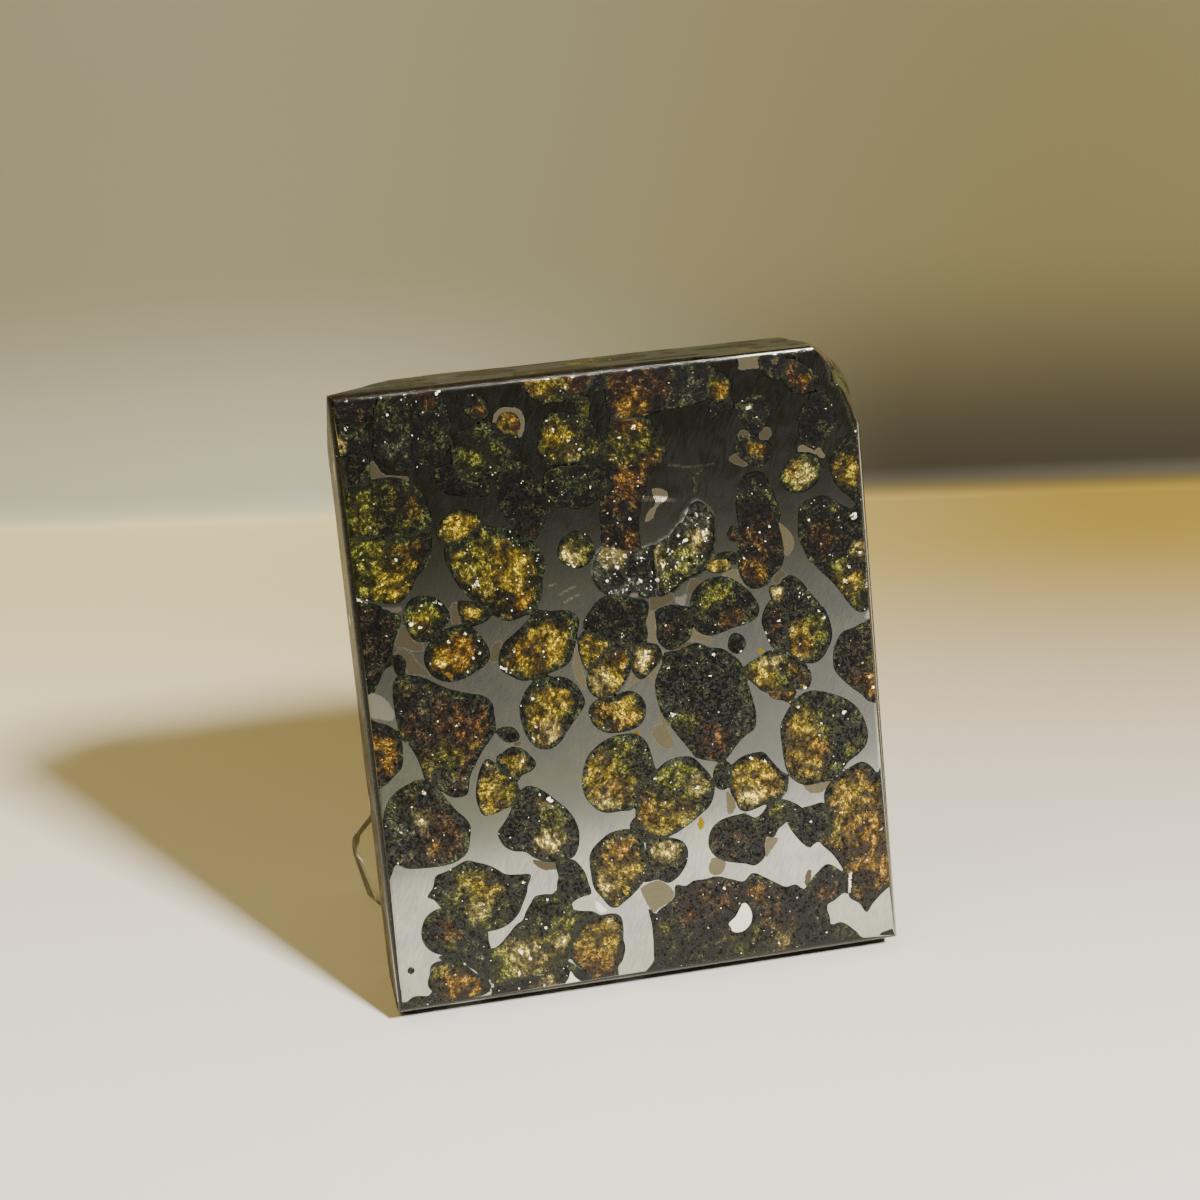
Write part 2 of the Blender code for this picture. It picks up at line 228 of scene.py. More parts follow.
    Grain("brown_box", Tone.MAROON, 0.25, 0.6, 0.2,
          ((38.0, 51.7), (38.6, 52.0), (40.0, 51.5), (41.2, 51.0), (41.2, 50.0), (40.4, 49.05), (39.6, 49.0),
           (38.4, 49.8), (37.8, 50.7)), ((39.4, 50.9, 0.35, Tone.GOLD, 1.0), (40.3, 50.6, 0.35, Tone.AMBER, 0.9))),
    Grain("round_yellow_green", Tone.OLIVE, 0.4, 0.9, 0.4,
          ((41.9, 47.6), (42.5, 48.6), (43.5, 49.4), (44.6, 49.7), (45.7, 49.1), (46.0, 48.0), (45.5, 46.8),
           (44.4, 46.1), (43.2, 46.0), (42.2, 46.6)), ((43.2, 48.4, 0.6, Tone.AMBER, 0.7), (44.4, 47.6, 0.9, Tone.CREAM, 0.4))),
    Grain("right_edge_green", Tone.BOTTLE, 0.35, 0.55, 0.4,
          ((51.2, 51.8), (49.8, 51.3), (48.8, 50.9), (47.6, 49.6), (46.9, 48.3), (47.1, 46.9), (47.9, 45.7),
           (48.7, 44.9), (49.5, 44.1), (51.2, 43.9)), ((48.5, 47.5, 0.9, Tone.GOLD, 0.9),)),
    Grain("tall_dark", Tone.BLACK_GREEN, 0.4, 0.5, 0.5,
          ((38.2, 47.9), (39.0, 48.4), (40.2, 48.3), (40.9, 47.0), (41.3, 45.6), (41.7, 44.3), (41.4, 43.2),
           (41.6, 41.9), (41.7, 40.2), (41.3, 39.0), (40.4, 38.2), (39.8, 37.5), (38.8, 37.2), (37.9, 37.5),
           (37.3, 38.7), (37.1, 40.4), (37.4, 42.2), (37.5, 43.6), (37.4, 45.4), (37.7, 46.8)),
          ((39.6, 42.2, 1.5, Tone.RUST, 0.5), (38.9, 46.0, 1.2, Tone.BOTTLE, 0.5),
           (38.5, 38.8, 0.9, Tone.AMBER, 0.5))),
    Grain("small_sparkly", Tone.RUST, 0.15, 0.5, 1.0,
          ((36.3, 42.7), (36.8, 43.5), (37.4, 43.0), (37.4, 42.2), (36.7, 42.1)), ()),
    Grain("right_large_green", Tone.BOTTLE, 0.55, 0.4, 0.35,
          ((44.0, 44.9), (45.2, 45.3), (46.3, 45.3), (47.4, 44.5), (48.6, 43.8), (49.4, 44.1), (51.2, 44.3),
           (51.2, 34.3), (49.9, 33.9), (49.1, 33.6), (48.5, 33.8), (47.8, 34.6), (47.2, 35.6), (46.4, 36.8),
           (45.4, 37.9), (44.7, 38.8), (44.1, 39.4), (43.7, 40.5), (43.3, 41.8), (43.4, 43.2), (43.5, 44.2)),
          ((47.7, 36.6, 1.0, Tone.GOLD, 1.0), (45.6, 41.0, 1.2, Tone.RUST, 0.45), (47.4, 44.6, 0.5, Tone.CREAM, 0.8),
           (49.2, 35.0, 1.2, Tone.OLIVE, 0.35), (49.3, 39.6, 0.5, Tone.CREAM, 0.8),
           (46.9, 38.4, 0.7, Tone.OLIVE, 0.6))),
    Grain("maroon_left", Tone.MAROON, 0.2, 0.6, 0.0,
          ((-0.8, 41.0), (1.2, 40.5), (2.4, 40.1), (3.4, 39.4), (4.3, 38.9), (4.3, 38.2), (3.9, 37.3), (3.4, 36.1),
           (3.2, 35.0), (3.0, 34.3), (2.3, 33.9), (1.8, 33.0), (1.3, 32.2), (0.9, 31.4), (0.4, 30.9), (-0.8, 30.4)),
          ()),
    Grain("dark_spot_left", Tone.BLACK_GREEN, 0.15, 0.6, 0.0,
          ((3.2, 34.6), (3.7, 35.2), (4.3, 34.8), (4.4, 34.1), (4.1, 33.4), (3.5, 33.3)), ()),
    Grain("green_gold_oval", Tone.OLIVE, 0.55, 0.95, 0.5,
          ((6.2, 40.5), (7.0, 40.4), (8.0, 40.0), (8.8, 39.0), (9.0, 38.2), (8.7, 37.6), (8.0, 37.0), (7.2, 36.4),
           (6.3, 36.1), (5.5, 36.4), (5.0, 37.3), (4.7, 38.4), (4.9, 39.4), (5.5, 40.2)),
          ((7.2, 39.2, 1.1, Tone.OLIVE, 1.0), (6.6, 38.1, 0.7, Tone.GOLD, 0.9), (6.7, 37.2, 0.8, Tone.MAROON, 0.6),
           (8.2, 37.4, 0.6, Tone.BLACK_GREEN, 0.2))),
    Grain("orange_gold_oval", Tone.AMBER, 0.75, 1.0, 0.4,
          ((6.2, 34.5), (6.6, 35.6), (7.6, 36.4), (8.6, 37.0), (9.8, 37.3), (11.0, 36.8), (11.8, 35.8), (12.4, 34.4),
           (12.1, 33.4), (11.0, 32.7), (9.6, 32.1), (8.2, 32.0), (7.0, 32.6), (6.4, 33.5)),
          ((7.4, 34.2, 0.8, Tone.GOLD, 1.0), (9.9, 34.8, 0.8, Tone.AMBER, 1.0), (11.6, 34.4, 0.8, Tone.BLACK_GREEN, 0.1),
           (8.4, 35.2, 0.8, Tone.AMBER, 0.7))),
    Grain("gold_spot_green", Tone.BLACK_GREEN, 0.3, 0.5, 0.2,
          ((10.0, 39.5), (11.2, 39.3), (12.3, 38.8), (13.0, 38.1), (12.6, 37.5), (11.6, 37.1), (10.6, 37.1),
           (10.0, 37.9)), ((11.3, 38.6, 0.55, Tone.GOLD, 1.0),)),
    Grain("heart", Tone.GOLD, 0.75, 0.8, 0.7,
          ((9.3, 44.9), (9.2, 43.6), (9.6, 42.4), (10.2, 41.0), (11.0, 39.9), (12.1, 38.8), (13.2, 37.8), (14.6, 37.1),
           (16.0, 37.4), (17.2, 37.8), (17.9, 39.2), (18.1, 40.6), (18.5, 42.0), (18.2, 43.3), (17.5, 44.3),
           (16.4, 44.8), (15.6, 45.8), (14.0, 46.1), (13.0, 46.5), (12.2, 46.1), (11.2, 45.4), (10.2, 45.2)),
          ((12.4, 43.6, 1.8, Tone.OLIVE, 0.8), (14.2, 42.0, 1.6, Tone.GOLD, 1.0), (16.9, 42.3, 1.1, Tone.GOLD, 1.0),
           (12.3, 39.8, 1.2, Tone.BOTTLE, 0.35), (14.3, 39.0, 1.1, Tone.BLACK_GREEN, 0.2),
           (16.1, 38.8, 0.8, Tone.AMBER, 0.9), (17.5, 39.6, 1.0, Tone.BLACK_GREEN, 0.1),
           (14.0, 43.6, 0.9, Tone.RUST, 0.6), (13.6, 45.2, 0.8, Tone.OLIVE, 0.8))),
    Grain("orange_gold_round", Tone.GOLD, 0.7, 1.0, 0.4,
          ((13.2, 33.0), (13.4, 34.2), (14.0, 35.1), (15.0, 35.8), (15.9, 36.5), (16.7, 37.2), (17.5, 37.7),
           (18.6, 37.5), (20.4, 37.3), (21.2, 36.4), (21.0, 35.4), (20.7, 34.4), (20.4, 33.4), (19.9, 32.4),
           (19.0, 31.9), (17.6, 31.5), (16.2, 31.2), (15.2, 31.2), (14.2, 31.8), (13.5, 32.3)),
          ((16.6, 35.2, 1.2, Tone.GOLD, 1.0), (16.0, 33.6, 1.3, Tone.AMBER, 1.0), (18.6, 33.8, 1.3, Tone.GOLD, 1.0),
           (19.0, 36.8, 1.3, Tone.BLACK_GREEN, 0.15), (14.2, 34.3, 0.9, Tone.BLACK_GREEN, 0.15),
           (15.2, 32.2, 0.9, Tone.OLIVE, 0.9))),
    Grain("dark_brown_top", Tone.MAROON, 0.4, 0.4, 0.3,
          ((21.8, 36.3), (22.5, 37.2), (23.2, 37.9), (24.2, 38.3), (25.4, 38.2), (26.8, 37.7), (27.9, 37.3),
           (28.0, 36.4), (27.6, 35.2), (27.7, 34.0), (27.2, 33.2), (26.0, 33.1), (24.8, 33.5), (23.4, 34.4),
           (22.3, 34.8), (21.6, 35.5)),
          ((25.6, 34.9, 1.2, Tone.BOTTLE, 0.45), (24.6, 37.0, 1.2, Tone.MAROON, 0.5))),
    Grain("gold_wedge", Tone.GOLD, 0.3, 1.0, 0.2,
          ((21.1, 34.6), (21.7, 35.2), (22.5, 34.8), (23.4, 34.3), (24.2, 33.6), (23.4, 32.8), (22.5, 31.9),
           (21.6, 31.3), (21.1, 32.4), (20.9, 33.6)),
          ((21.9, 32.2, 0.7, Tone.BLACK_GREEN, 0.4), (22.6, 33.4, 0.8, Tone.GOLD, 1.0))),
    Grain("gold_orange_cluster", Tone.GOLD, 0.35, 0.9, 0.4,
          ((24.7, 33.5), (25.4, 33.3), (25.9, 32.9), (25.9, 31.8), (25.7, 30.8), (25.1, 29.8), (24.4, 29.0),
           (23.4, 28.6), (22.5, 28.5), (21.7, 29.1), (21.4, 30.2), (21.7, 31.2), (22.7, 32.3), (23.8, 33.2)),
          ((25.1, 32.2, 0.8, Tone.AMBER, 1.0), (22.9, 31.8, 0.9, Tone.MAROON, 0.4), (22.7, 30.1, 0.8, Tone.CREAM, 0.9),
           (24.4, 30.6, 0.7, Tone.GOLD, 1.0), (22.6, 29.1, 0.6, Tone.BOTTLE, 0.5))),
    Grain("sparkly_brown", Tone.MAROON, 0.3, 0.6, 1.0,
          ((26.2, 32.9), (27.3, 33.2), (28.4, 33.0), (28.9, 32.2), (28.6, 31.3), (28.0, 30.7), (27.3, 30.1),
           (26.7, 29.8), (26.1, 30.3), (25.9, 31.4)), ((26.9, 31.8, 0.7, Tone.CREAM, 0.8),)),
    Grain("dark_green_block", Tone.BOTTLE, 0.4, 0.4, 0.3,
          ((28.7, 36.2), (29.8, 36.6), (31.0, 36.5), (31.9, 36.1), (32.1, 34.8), (31.9, 33.4), (31.0, 32.7),
           (30.0, 32.3), (29.2, 32.6), (28.6, 33.6), (28.7, 34.9)),
          ((31.3, 35.1, 0.8, Tone.RUST, 0.6), (29.6, 34.4, 0.6, Tone.RUST, 0.4))),
    Grain("glitter_left", Tone.SLATE, 0.1, 0.9, 3.0,
          ((25.3, 42.8), (24.1, 42.9), (23.3, 41.9), (23.0, 40.6), (23.4, 39.4), (24.1, 38.7), (25.4, 38.1),
           (27.9, 37.8), (28.9, 37.8), (29.2, 40.0), (29.3, 42.5), (27.5, 42.3)),
          ((25.2, 42.0, 0.8, Tone.CREAM, 0.7), (23.9, 40.6, 0.9, Tone.SLATE, 2.2), (27.4, 38.8, 0.9, Tone.SLATE, 1.4),
           (27.0, 40.6, 1.0, Tone.BLACK_GREEN, 0.5))),
    Grain("glitter_right", Tone.SLATE, 0.1, 0.8, 3.0,
          ((29.0, 37.8), (29.8, 37.7), (30.9, 38.4), (31.9, 39.1), (33.2, 39.5), (34.2, 40.3), (34.8, 41.8),
           (35.1, 44.1), (34.8, 45.3), (33.8, 46.3), (32.9, 45.9), (31.8, 44.5), (30.7, 43.3), (29.2, 42.4),
           (29.1, 40.0)),
          ((34.0, 45.0, 1.0, Tone.TAN, 0.6), (33.4, 42.6, 0.8, Tone.CREAM, 0.5), (31.5, 40.7, 1.0, Tone.OLIVE, 1.2),
           (29.2, 41.7, 0.8, Tone.CREAM, 0.6), (30.4, 39.3, 0.8, Tone.OLIVE, 0.6))),
    Grain("small_bright_gold", Tone.CREAM, 0.1, 1.0, 0.4,
          ((33.9, 39.9), (34.6, 40.4), (35.8, 40.5), (36.4, 40.0), (36.2, 39.4), (35.2, 39.2), (34.3, 39.4)),
          ((34.9, 39.9, 0.9, Tone.GOLD, 1.0),)),
    Grain("green_collar", Tone.BOTTLE, 0.15, 0.5, 0.3,
          ((34.9, 40.7), (35.6, 41.1), (36.8, 41.0), (37.1, 40.3), (36.6, 39.8), (36.2, 40.5)), ()),
    Grain("dark_oval", Tone.BOTTLE, 0.45, 0.4, 0.4,
          ((32.1, 36.4), (32.4, 37.4), (33.0, 38.1), (33.8, 38.6), (35.2, 38.8), (36.2, 38.5), (37.2, 37.8),
           (38.2, 36.7), (38.8, 35.4), (38.5, 34.4), (37.4, 33.9), (36.1, 33.7), (35.1, 33.4), (33.8, 33.2),
           (32.6, 33.8), (32.0, 35.2)),
          ((35.1, 37.6, 0.9, Tone.OLIVE, 0.9), (36.0, 34.4, 0.8, Tone.AMBER, 0.7), (34.0, 36.2, 0.9, Tone.OLIVE, 0.5),
           (36.8, 36.2, 1.2, Tone.BLACK_GREEN, 0.2))),
    Grain("small_dark_shiny", Tone.BLACK_GREEN, 0.2, 0.5, 1.0,
          ((35.6, 32.6), (36.1, 33.1), (36.9, 32.8), (37.2, 32.0), (36.8, 31.3), (36.1, 31.1), (35.5, 31.7)), ()),
    Grain("dark_green_lobe", Tone.BLACK_GREEN, 0.3, 0.5, 0.8,
          ((40.1, 37.2), (41.0, 37.3), (41.6, 37.9), (42.3, 38.0), (43.2, 37.3), (43.9, 36.2), (44.8, 34.9),
           (44.2, 34.5), (42.8, 34.3), (41.6, 34.6), (40.9, 35.3), (40.2, 35.9), (40.0, 36.6)),
          ((42.8, 35.9, 0.7, Tone.SLATE, 0.7), (40.6, 36.6, 0.5, Tone.CREAM, 0.7))),
    Grain("gold_green_lobe", Tone.OLIVE, 0.45, 0.8, 0.5,
          ((41.8, 34.5), (43.2, 34.2), (44.9, 34.7), (45.5, 33.8), (45.8, 32.6), (45.8, 31.4), (45.3, 30.4),
           (44.8, 29.7), (44.0, 29.2), (43.0, 29.3), (42.0, 29.8), (41.4, 30.6), (41.3, 32.0), (41.5, 33.4)),
          ((42.3, 32.6, 0.9, Tone.GOLD, 1.0), (42.7, 31.2, 0.8, Tone.AMBER, 1.0), (44.6, 30.3, 0.9, Tone.BLACK_GREEN, 0.3),
           (44.5, 32.6, 0.9, Tone.OLIVE, 0.7))),
    Grain("dark_brown_lobe", Tone.MAROON, 0.35, 0.55, 0.5,
          ((39.6, 35.4), (40.2, 35.9), (40.9, 35.3), (41.5, 34.5), (41.5, 33.2), (41.3, 32.0), (41.3, 30.7),
           (40.4, 30.8), (39.7, 31.5), (39.3, 32.6), (39.0, 33.8), (39.2, 34.7)),
          ((40.4, 34.0, 0.8, Tone.RUST, 0.5),)),
    Grain("brown_gold", Tone.OLIVE, 0.35, 0.7, 0.5,
          ((36.8, 29.4), (37.4, 30.0), (38.4, 30.4), (39.4, 30.9), (40.8, 30.7), (41.6, 29.9), (42.6, 29.4),
           (43.3, 28.6), (43.4, 27.4), (42.8, 26.7), (41.4, 26.9), (39.8, 26.8), (38.6, 27.0), (37.8, 27.8),
           (37.1, 28.6)),
          ((39.6, 29.9, 0.6, Tone.CREAM, 0.9), (38.6, 28.4, 0.9, Tone.GOLD, 0.8), (42.7, 27.6, 0.7, Tone.RUST, 0.8),
           (41.3, 28.4, 1.0, Tone.BOTTLE, 0.4), (42.0, 29.2, 0.6, Tone.AMBER, 0.7))),
    Grain("amber_tongue", Tone.AMBER, 0.1, 0.9, 0.2,
          ((39.1, 26.9), (40.4, 26.9), (41.8, 26.7), (41.6, 26.1), (41.2, 25.5), (40.4, 25.9), (39.5, 26.2)), ()),
    Grain("big_dark_green", Tone.BLACK_GREEN, 0.5, 0.6, 0.35,
          ((28.0, 29.0), (28.3, 30.0), (28.8, 30.8), (29.2, 32.0), (30.3, 32.0), (31.4, 32.4), (32.4, 32.6),
           (33.6, 32.0), (34.9, 31.7), (35.6, 31.1), (36.3, 30.5), (36.8, 29.5), (37.0, 28.3), (37.3, 27.0),
           (37.6, 25.4), (37.6, 24.2), (37.3, 23.4), (36.3, 22.8), (35.5, 22.1), (34.8, 21.3), (34.0, 20.7),
           (32.6, 20.9), (31.4, 21.4), (30.7, 22.4), (29.9, 23.6), (29.4, 24.4), (28.9, 25.2), (28.4, 26.2),
           (28.1, 27.4)),
          ((33.4, 22.7, 1.3, Tone.RUST, 0.7), (30.2, 24.6, 0.9, Tone.OLIVE, 0.6), (29.3, 26.4, 0.8, Tone.SLATE, 0.9),
           (35.6, 24.6, 1.0, Tone.SLATE, 0.7), (32.5, 28.5, 2.5, Tone.BLACK_GREEN, 0.5))),
    Grain("gold_oval", Tone.GOLD, 0.45, 0.9, 0.5,
          ((21.4, 27.6), (21.4, 26.7), (21.8, 25.8), (22.7, 25.1), (23.8, 24.9), (25.2, 25.0), (26.2, 25.4),
           (26.8, 26.4), (26.8, 27.5), (26.2, 28.4), (25.2, 28.8), (23.6, 28.4), (22.2, 28.3)),
          ((23.0, 27.2, 0.9, Tone.RUST, 0.7), (25.2, 27.2, 1.0, Tone.GOLD, 1.0), (25.0, 25.8, 0.6, Tone.AMBER, 0.9),
           (22.6, 25.9, 0.6, Tone.BOTTLE, 0.4))),
    Grain("gold_oval_dark_rim", Tone.GOLD, 0.8, 1.0, 0.4,
          ((15.0, 29.3), (15.6, 30.3), (16.8, 31.2), (18.6, 31.1), (19.7, 30.7), (20.6, 29.6), (21.0, 28.3),
           (20.4, 27.3), (19.6, 26.4), (18.8, 25.4), (18.1, 24.6), (17.2, 24.2), (16.0, 24.5), (15.2, 25.6),
           (14.8, 27.0), (14.7, 28.4)),
          ((16.8, 28.2, 1.3, Tone.GOLD, 1.0), (18.6, 29.4, 1.1, Tone.GOLD, 1.0), (17.8, 25.9, 0.9, Tone.CREAM, 0.9),
           (19.0, 27.2, 0.9, Tone.OLIVE, 0.9), (15.6, 26.3, 0.9, Tone.BLACK_GREEN, 0.1),
           (16.3, 30.2, 0.7, Tone.BLACK_GREEN, 0.2))),
    Grain("big_brown_green", Tone.RUST, 0.5, 0.75, 0.4,
          ((2.9, 30.2), (2.9, 31.6), (3.2, 32.8), (4.0, 33.2), (5.0, 33.0), (6.2, 32.5), (7.4, 31.7), (8.6, 31.1),
           (10.0, 30.6), (11.3, 30.2), (12.1, 29.4), (12.2, 28.2), (12.2, 27.0), (11.7, 26.0), (10.8, 25.0),
           (10.0, 23.8), (9.3, 22.6), (9.0, 21.3), (8.7, 20.8), (7.9, 20.7), (7.2, 20.9), (6.4, 21.6), (5.6, 22.3),
           (5.0, 22.9), (4.8, 24.0), (4.4, 25.3), (3.9, 26.4), (3.2, 27.2), (3.0, 28.6)),
          ((5.6, 31.2, 1.7, Tone.SLATE, 0.35), (3.5, 31.6, 0.6, Tone.OLIVE, 0.7), (9.4, 27.2, 1.8, Tone.RUST, 0.9),
           (7.2, 24.6, 1.2, Tone.OLIVE, 0.7), (7.0, 22.6, 1.2, Tone.SLATE, 0.3), (8.2, 21.3, 0.6, Tone.MAROON, 0.7),
           (5.0, 26.8, 1.1, Tone.MAROON, 0.5), (8.4, 29.6, 1.2, Tone.MAROON, 0.4),
           (10.4, 25.6, 0.6, Tone.GOLD, 0.7))),
    Grain("red_orange_left", Tone.RUST, 0.4, 0.9, 0.2,
          ((-0.8, 29.4), (1.2, 28.9), (2.4, 28.3), (3.1, 27.4), (3.2, 26.2), (3.1, 25.0), (2.8, 24.2), (2.1, 23.6),
           (1.4, 23.0), (0.6, 22.6), (-0.8, 22.2)), ((1.4, 25.8, 1.2, Tone.AMBER, 0.9), (2.0, 28.2, 0.9, Tone.BOTTLE, 0.4))),
    Grain("big_grey_round", Tone.MAROON, 0.5, 1.2, 0.5,
          ((-0.8, 18.4), (0.5, 19.3), (0.9, 20.4), (1.4, 21.3), (2.3, 22.1), (3.4, 22.6), (4.6, 22.9), (5.6, 22.3),
           (6.2, 21.6), (6.8, 20.6), (7.6, 19.4), (8.4, 18.5), (8.8, 17.6), (8.6, 16.4), (8.3, 15.3), (7.5, 14.6),
           (6.2, 14.2), (4.2, 14.2), (2.4, 14.4), (1.5, 14.9), (1.1, 14.7), (0.8, 14.0), (0.3, 13.3), (-0.8, 13.0)),
          ((2.6, 18.0, 2.0, Tone.SLATE, 0.5), (5.6, 17.2, 1.5, Tone.RUST, 0.5), (5.2, 16.2, 0.5, Tone.AMBER, 0.8),
           (2.6, 20.6, 0.9, Tone.OLIVE, 0.5), (4.6, 18.9, 0.6, Tone.CREAM, 0.6))),
    Grain("two_lobed_upper", Tone.RUST, 0.5, 0.6, 0.4,
          ((12.0, 24.0), (12.6, 24.4), (13.6, 24.85), (14.6, 24.5), (15.3, 23.7), (15.7, 22.9), (15.2, 22.3),
           (14.3, 22.0), (13.7, 21.5), (12.9, 22.1), (12.2, 23.0)),
          ((13.8, 23.3, 0.7, Tone.GOLD, 0.7),)),
    Grain("two_lobed_lower", Tone.GOLD, 0.3, 0.9, 0.4,
          ((11.1, 24.0), (11.8, 23.5), (12.6, 22.6), (13.3, 22.0), (13.8, 21.0), (13.8, 20.1), (13.2, 19.3),
           (12.2, 18.9), (11.2, 18.6), (10.2, 18.6), (9.8, 19.6), (9.7, 20.8), (10.0, 22.2), (10.5, 23.4)),
          ((11.4, 22.6, 0.9, Tone.MAROON, 0.6), (12.9, 20.6, 0.8, Tone.OLIVE, 0.6), (11.0, 20.2, 1.0, Tone.GOLD, 1.0))),
    Grain("small_brown", Tone.MAROON, 0.25, 0.5, 0.3,
          ((12.3, 26.6), (13.0, 26.9), (13.9, 26.7), (14.4, 25.9), (14.1, 25.4), (13.2, 25.4), (12.6, 25.9)), ()),
    Grain("dark_green_fan", Tone.SLATE, 0.45, 0.55, 0.6,
          ((11.4, 16.7), (12.0, 17.4), (12.6, 18.2), (13.2, 19.2), (13.8, 20.2), (14.6, 20.8), (15.6, 20.5),
           (16.6, 19.7), (17.5, 18.8), (18.4, 17.8), (19.0, 16.6), (19.2, 15.4), (19.0, 14.2), (18.4, 13.2),
           (17.2, 13.0), (15.8, 13.1), (14.6, 13.7), (13.8, 14.4), (12.8, 14.6), (11.9, 15.2), (11.5, 16.0)),
          ((14.1, 19.4, 0.9, Tone.MAROON, 0.6), (16.2, 15.1, 0.8, Tone.CREAM, 1.0), (16.8, 16.8, 1.1, Tone.OLIVE, 0.6),
           (12.8, 16.6, 1.1, Tone.BLACK_GREEN, 0.5), (16.1, 19.4, 0.5, Tone.CREAM, 0.7),
           (14.2, 18.0, 1.0, Tone.BLACK_GREEN, 0.4))),
    Grain("grey_lower", Tone.BLACK_GREEN, 0.3, 0.9, 0.05,
          ((16.8, 13.1), (18.3, 12.9), (18.9, 12.3), (19.4, 11.4), (19.6, 10.4), (19.8, 9.3), (19.0, 9.1),
           (18.3, 8.9), (17.7, 8.6), (17.2, 9.3), (16.6, 10.0), (16.6, 10.8), (16.8, 11.4), (16.7, 12.2)), ()),
    Grain("green_gold_lower", Tone.OLIVE, 0.55, 0.7, 0.5,
          ((4.0, 11.3), (4.6, 12.1), (5.0, 13.2), (6.0, 13.5), (7.0, 13.9), (8.1, 14.3), (9.0, 14.0), (10.0, 13.6),
           (10.8, 13.1), (11.7, 12.4), (12.9, 12.2), (14.1, 12.0), (13.7, 11.0), (13.5, 10.2), (13.0, 9.2),
           (12.5, 8.3), (11.6, 7.5), (10.6, 7.1), (9.4, 7.0), (8.2, 7.1), (7.4, 7.8), (7.2, 8.6), (6.6, 9.5),
           (5.2, 10.1), (4.6, 10.9)),
          ((9.4, 11.6, 1.4, Tone.GOLD, 0.6), (7.6, 10.6, 1.0, Tone.OLIVE, 0.6), (5.6, 11.8, 1.0, Tone.SLATE, 0.5),
           (11.6, 9.4, 1.2, Tone.BLACK_GREEN, 0.3), (12.8, 11.0, 0.8, Tone.SLATE, 0.5), (8.6, 9.2, 0.6, Tone.CREAM, 0.6),
           (8.4, 13.0, 0.8, Tone.BLACK_GREEN, 0.5))),
    Grain("brown_round", Tone.RUST, 0.75, 0.6, 0.1,
          ((3.0, 7.3), (3.1, 8.2), (3.5, 9.1), (4.2, 9.7), (5.2, 10.0), (6.2, 9.8), (6.9, 9.2), (7.4, 8.3),
           (7.5, 7.3), (7.2, 6.2), (6.4, 5.4), (5.4, 5.2), (4.3, 5.5), (3.6, 6.0), (3.2, 6.6)),
          ((6.2, 7.8, 0.9, Tone.RUST, 0.8), (5.6, 6.0, 0.7, Tone.OLIVE, 0.6), (3.8, 7.8, 0.9, Tone.BLACK_GREEN, 0.5))),
    Grain("dark_bridge", Tone.BLACK_GREEN, 0.2, 0.6, 0.4,
          ((7.5, 7.6), (8.4, 7.4), (9.3, 7.0), (9.35, 6.0), (9.5, 5.0), (9.1, 4.2), (9.2, 3.0), (8.9, 2.0),
           (8.3, 2.5), (7.8, 3.2), (7.0, 3.9), (6.0, 4.3), (5.0, 4.6), (4.4, 5.1), (5.4, 5.15), (6.6, 5.4),
           (7.4, 6.4)), ((8.4, 4.3, 0.5, Tone.SLATE, 0.8), (8.5, 6.8, 0.8, Tone.SLATE, 0.5))),
    Grain("orange_green", Tone.RUST, 0.3, 0.9, 0.3,
          ((3.6, 4.4), (4.4, 4.7), (5.2, 4.5), (6.2, 4.2), (7.0, 3.8), (7.6, 3.1), (8.3, 2.4), (9.0, 1.8),
           (8.9, 1.0), (8.0, 0.6), (6.8, 0.4), (5.4, 0.4), (4.7, 1.0), (3.9, 1.8), (3.2, 2.1), (3.1, 2.8),
           (3.4, 3.6)), ((6.6, 2.4, 1.6, Tone.AMBER, 0.7), (3.9, 3.2, 0.7, Tone.OLIVE, 0.7), (6.0, 4.0, 0.7, Tone.OLIVE, 0.7))),
    Grain("foot_speck", Tone.BLACK_GREEN, 0.1, 0.4, 0.0,
          ((1.25, 4.2), (1.6, 4.55), (1.95, 4.2), (1.6, 3.85)), ()),
    Grain("dark_foot_left", Tone.BLACK_GREEN, 0.2, 0.9, 0.1,
          ((-0.8, -1.0), (-0.2, 1.0), (0.8, 1.1), (1.5, 1.5), (2.2, 1.5), (3.0, 1.4), (3.6, 1.9), (4.4, 1.5),
           (4.9, 0.6), (5.0, -1.0)), ()),
    Grain("green_gold_foot", Tone.OLIVE, 0.4, 0.8, 0.6,
          ((9.5, 5.0), (10.3, 5.4), (11.0, 6.0), (11.6, 6.6), (12.2, 7.2), (12.9, 7.6), (13.3, 8.4), (13.8, 9.1),
           (14.3, 9.75), (15.2, 9.85), (16.0, 9.75), (16.6, 10.1), (17.2, 9.3), (17.8, 8.6), (17.9, 7.9),
           (18.8, 7.6), (19.8, 7.4), (20.3, 6.9), (19.2, 6.7), (18.4, 6.1), (17.7, 5.1), (17.2, 4.0), (17.0, 3.0),
           (16.2, 2.5), (15.2, 2.1), (14.2, 1.9), (12.8, 1.8), (11.4, 1.7), (10.2, 1.5), (9.3, 1.7), (9.2, 3.0),
           (9.3, 4.2)),
          ((12.9, 4.0, 1.3, Tone.CREAM, 0.85), (10.6, 3.4, 1.2, Tone.OLIVE, 0.9), (15.2, 8.4, 1.4, Tone.BLACK_GREEN, 0.35),
           (16.9, 6.4, 0.9, Tone.OLIVE, 0.9), (16.6, 4.6, 0.6, Tone.CREAM, 0.9), (14.6, 6.6, 1.1, Tone.BLACK_GREEN, 0.4),
           (12.6, 6.5, 0.8, Tone.SLATE, 0.5), (14.6, 4.9, 0.8, Tone.OLIVE, 0.7), (17.4, 8.7, 0.5, Tone.OLIVE, 0.7))),
    Grain("dark_foot_strip", Tone.BLACK_GREEN, 0.2, 0.8, 0.9,
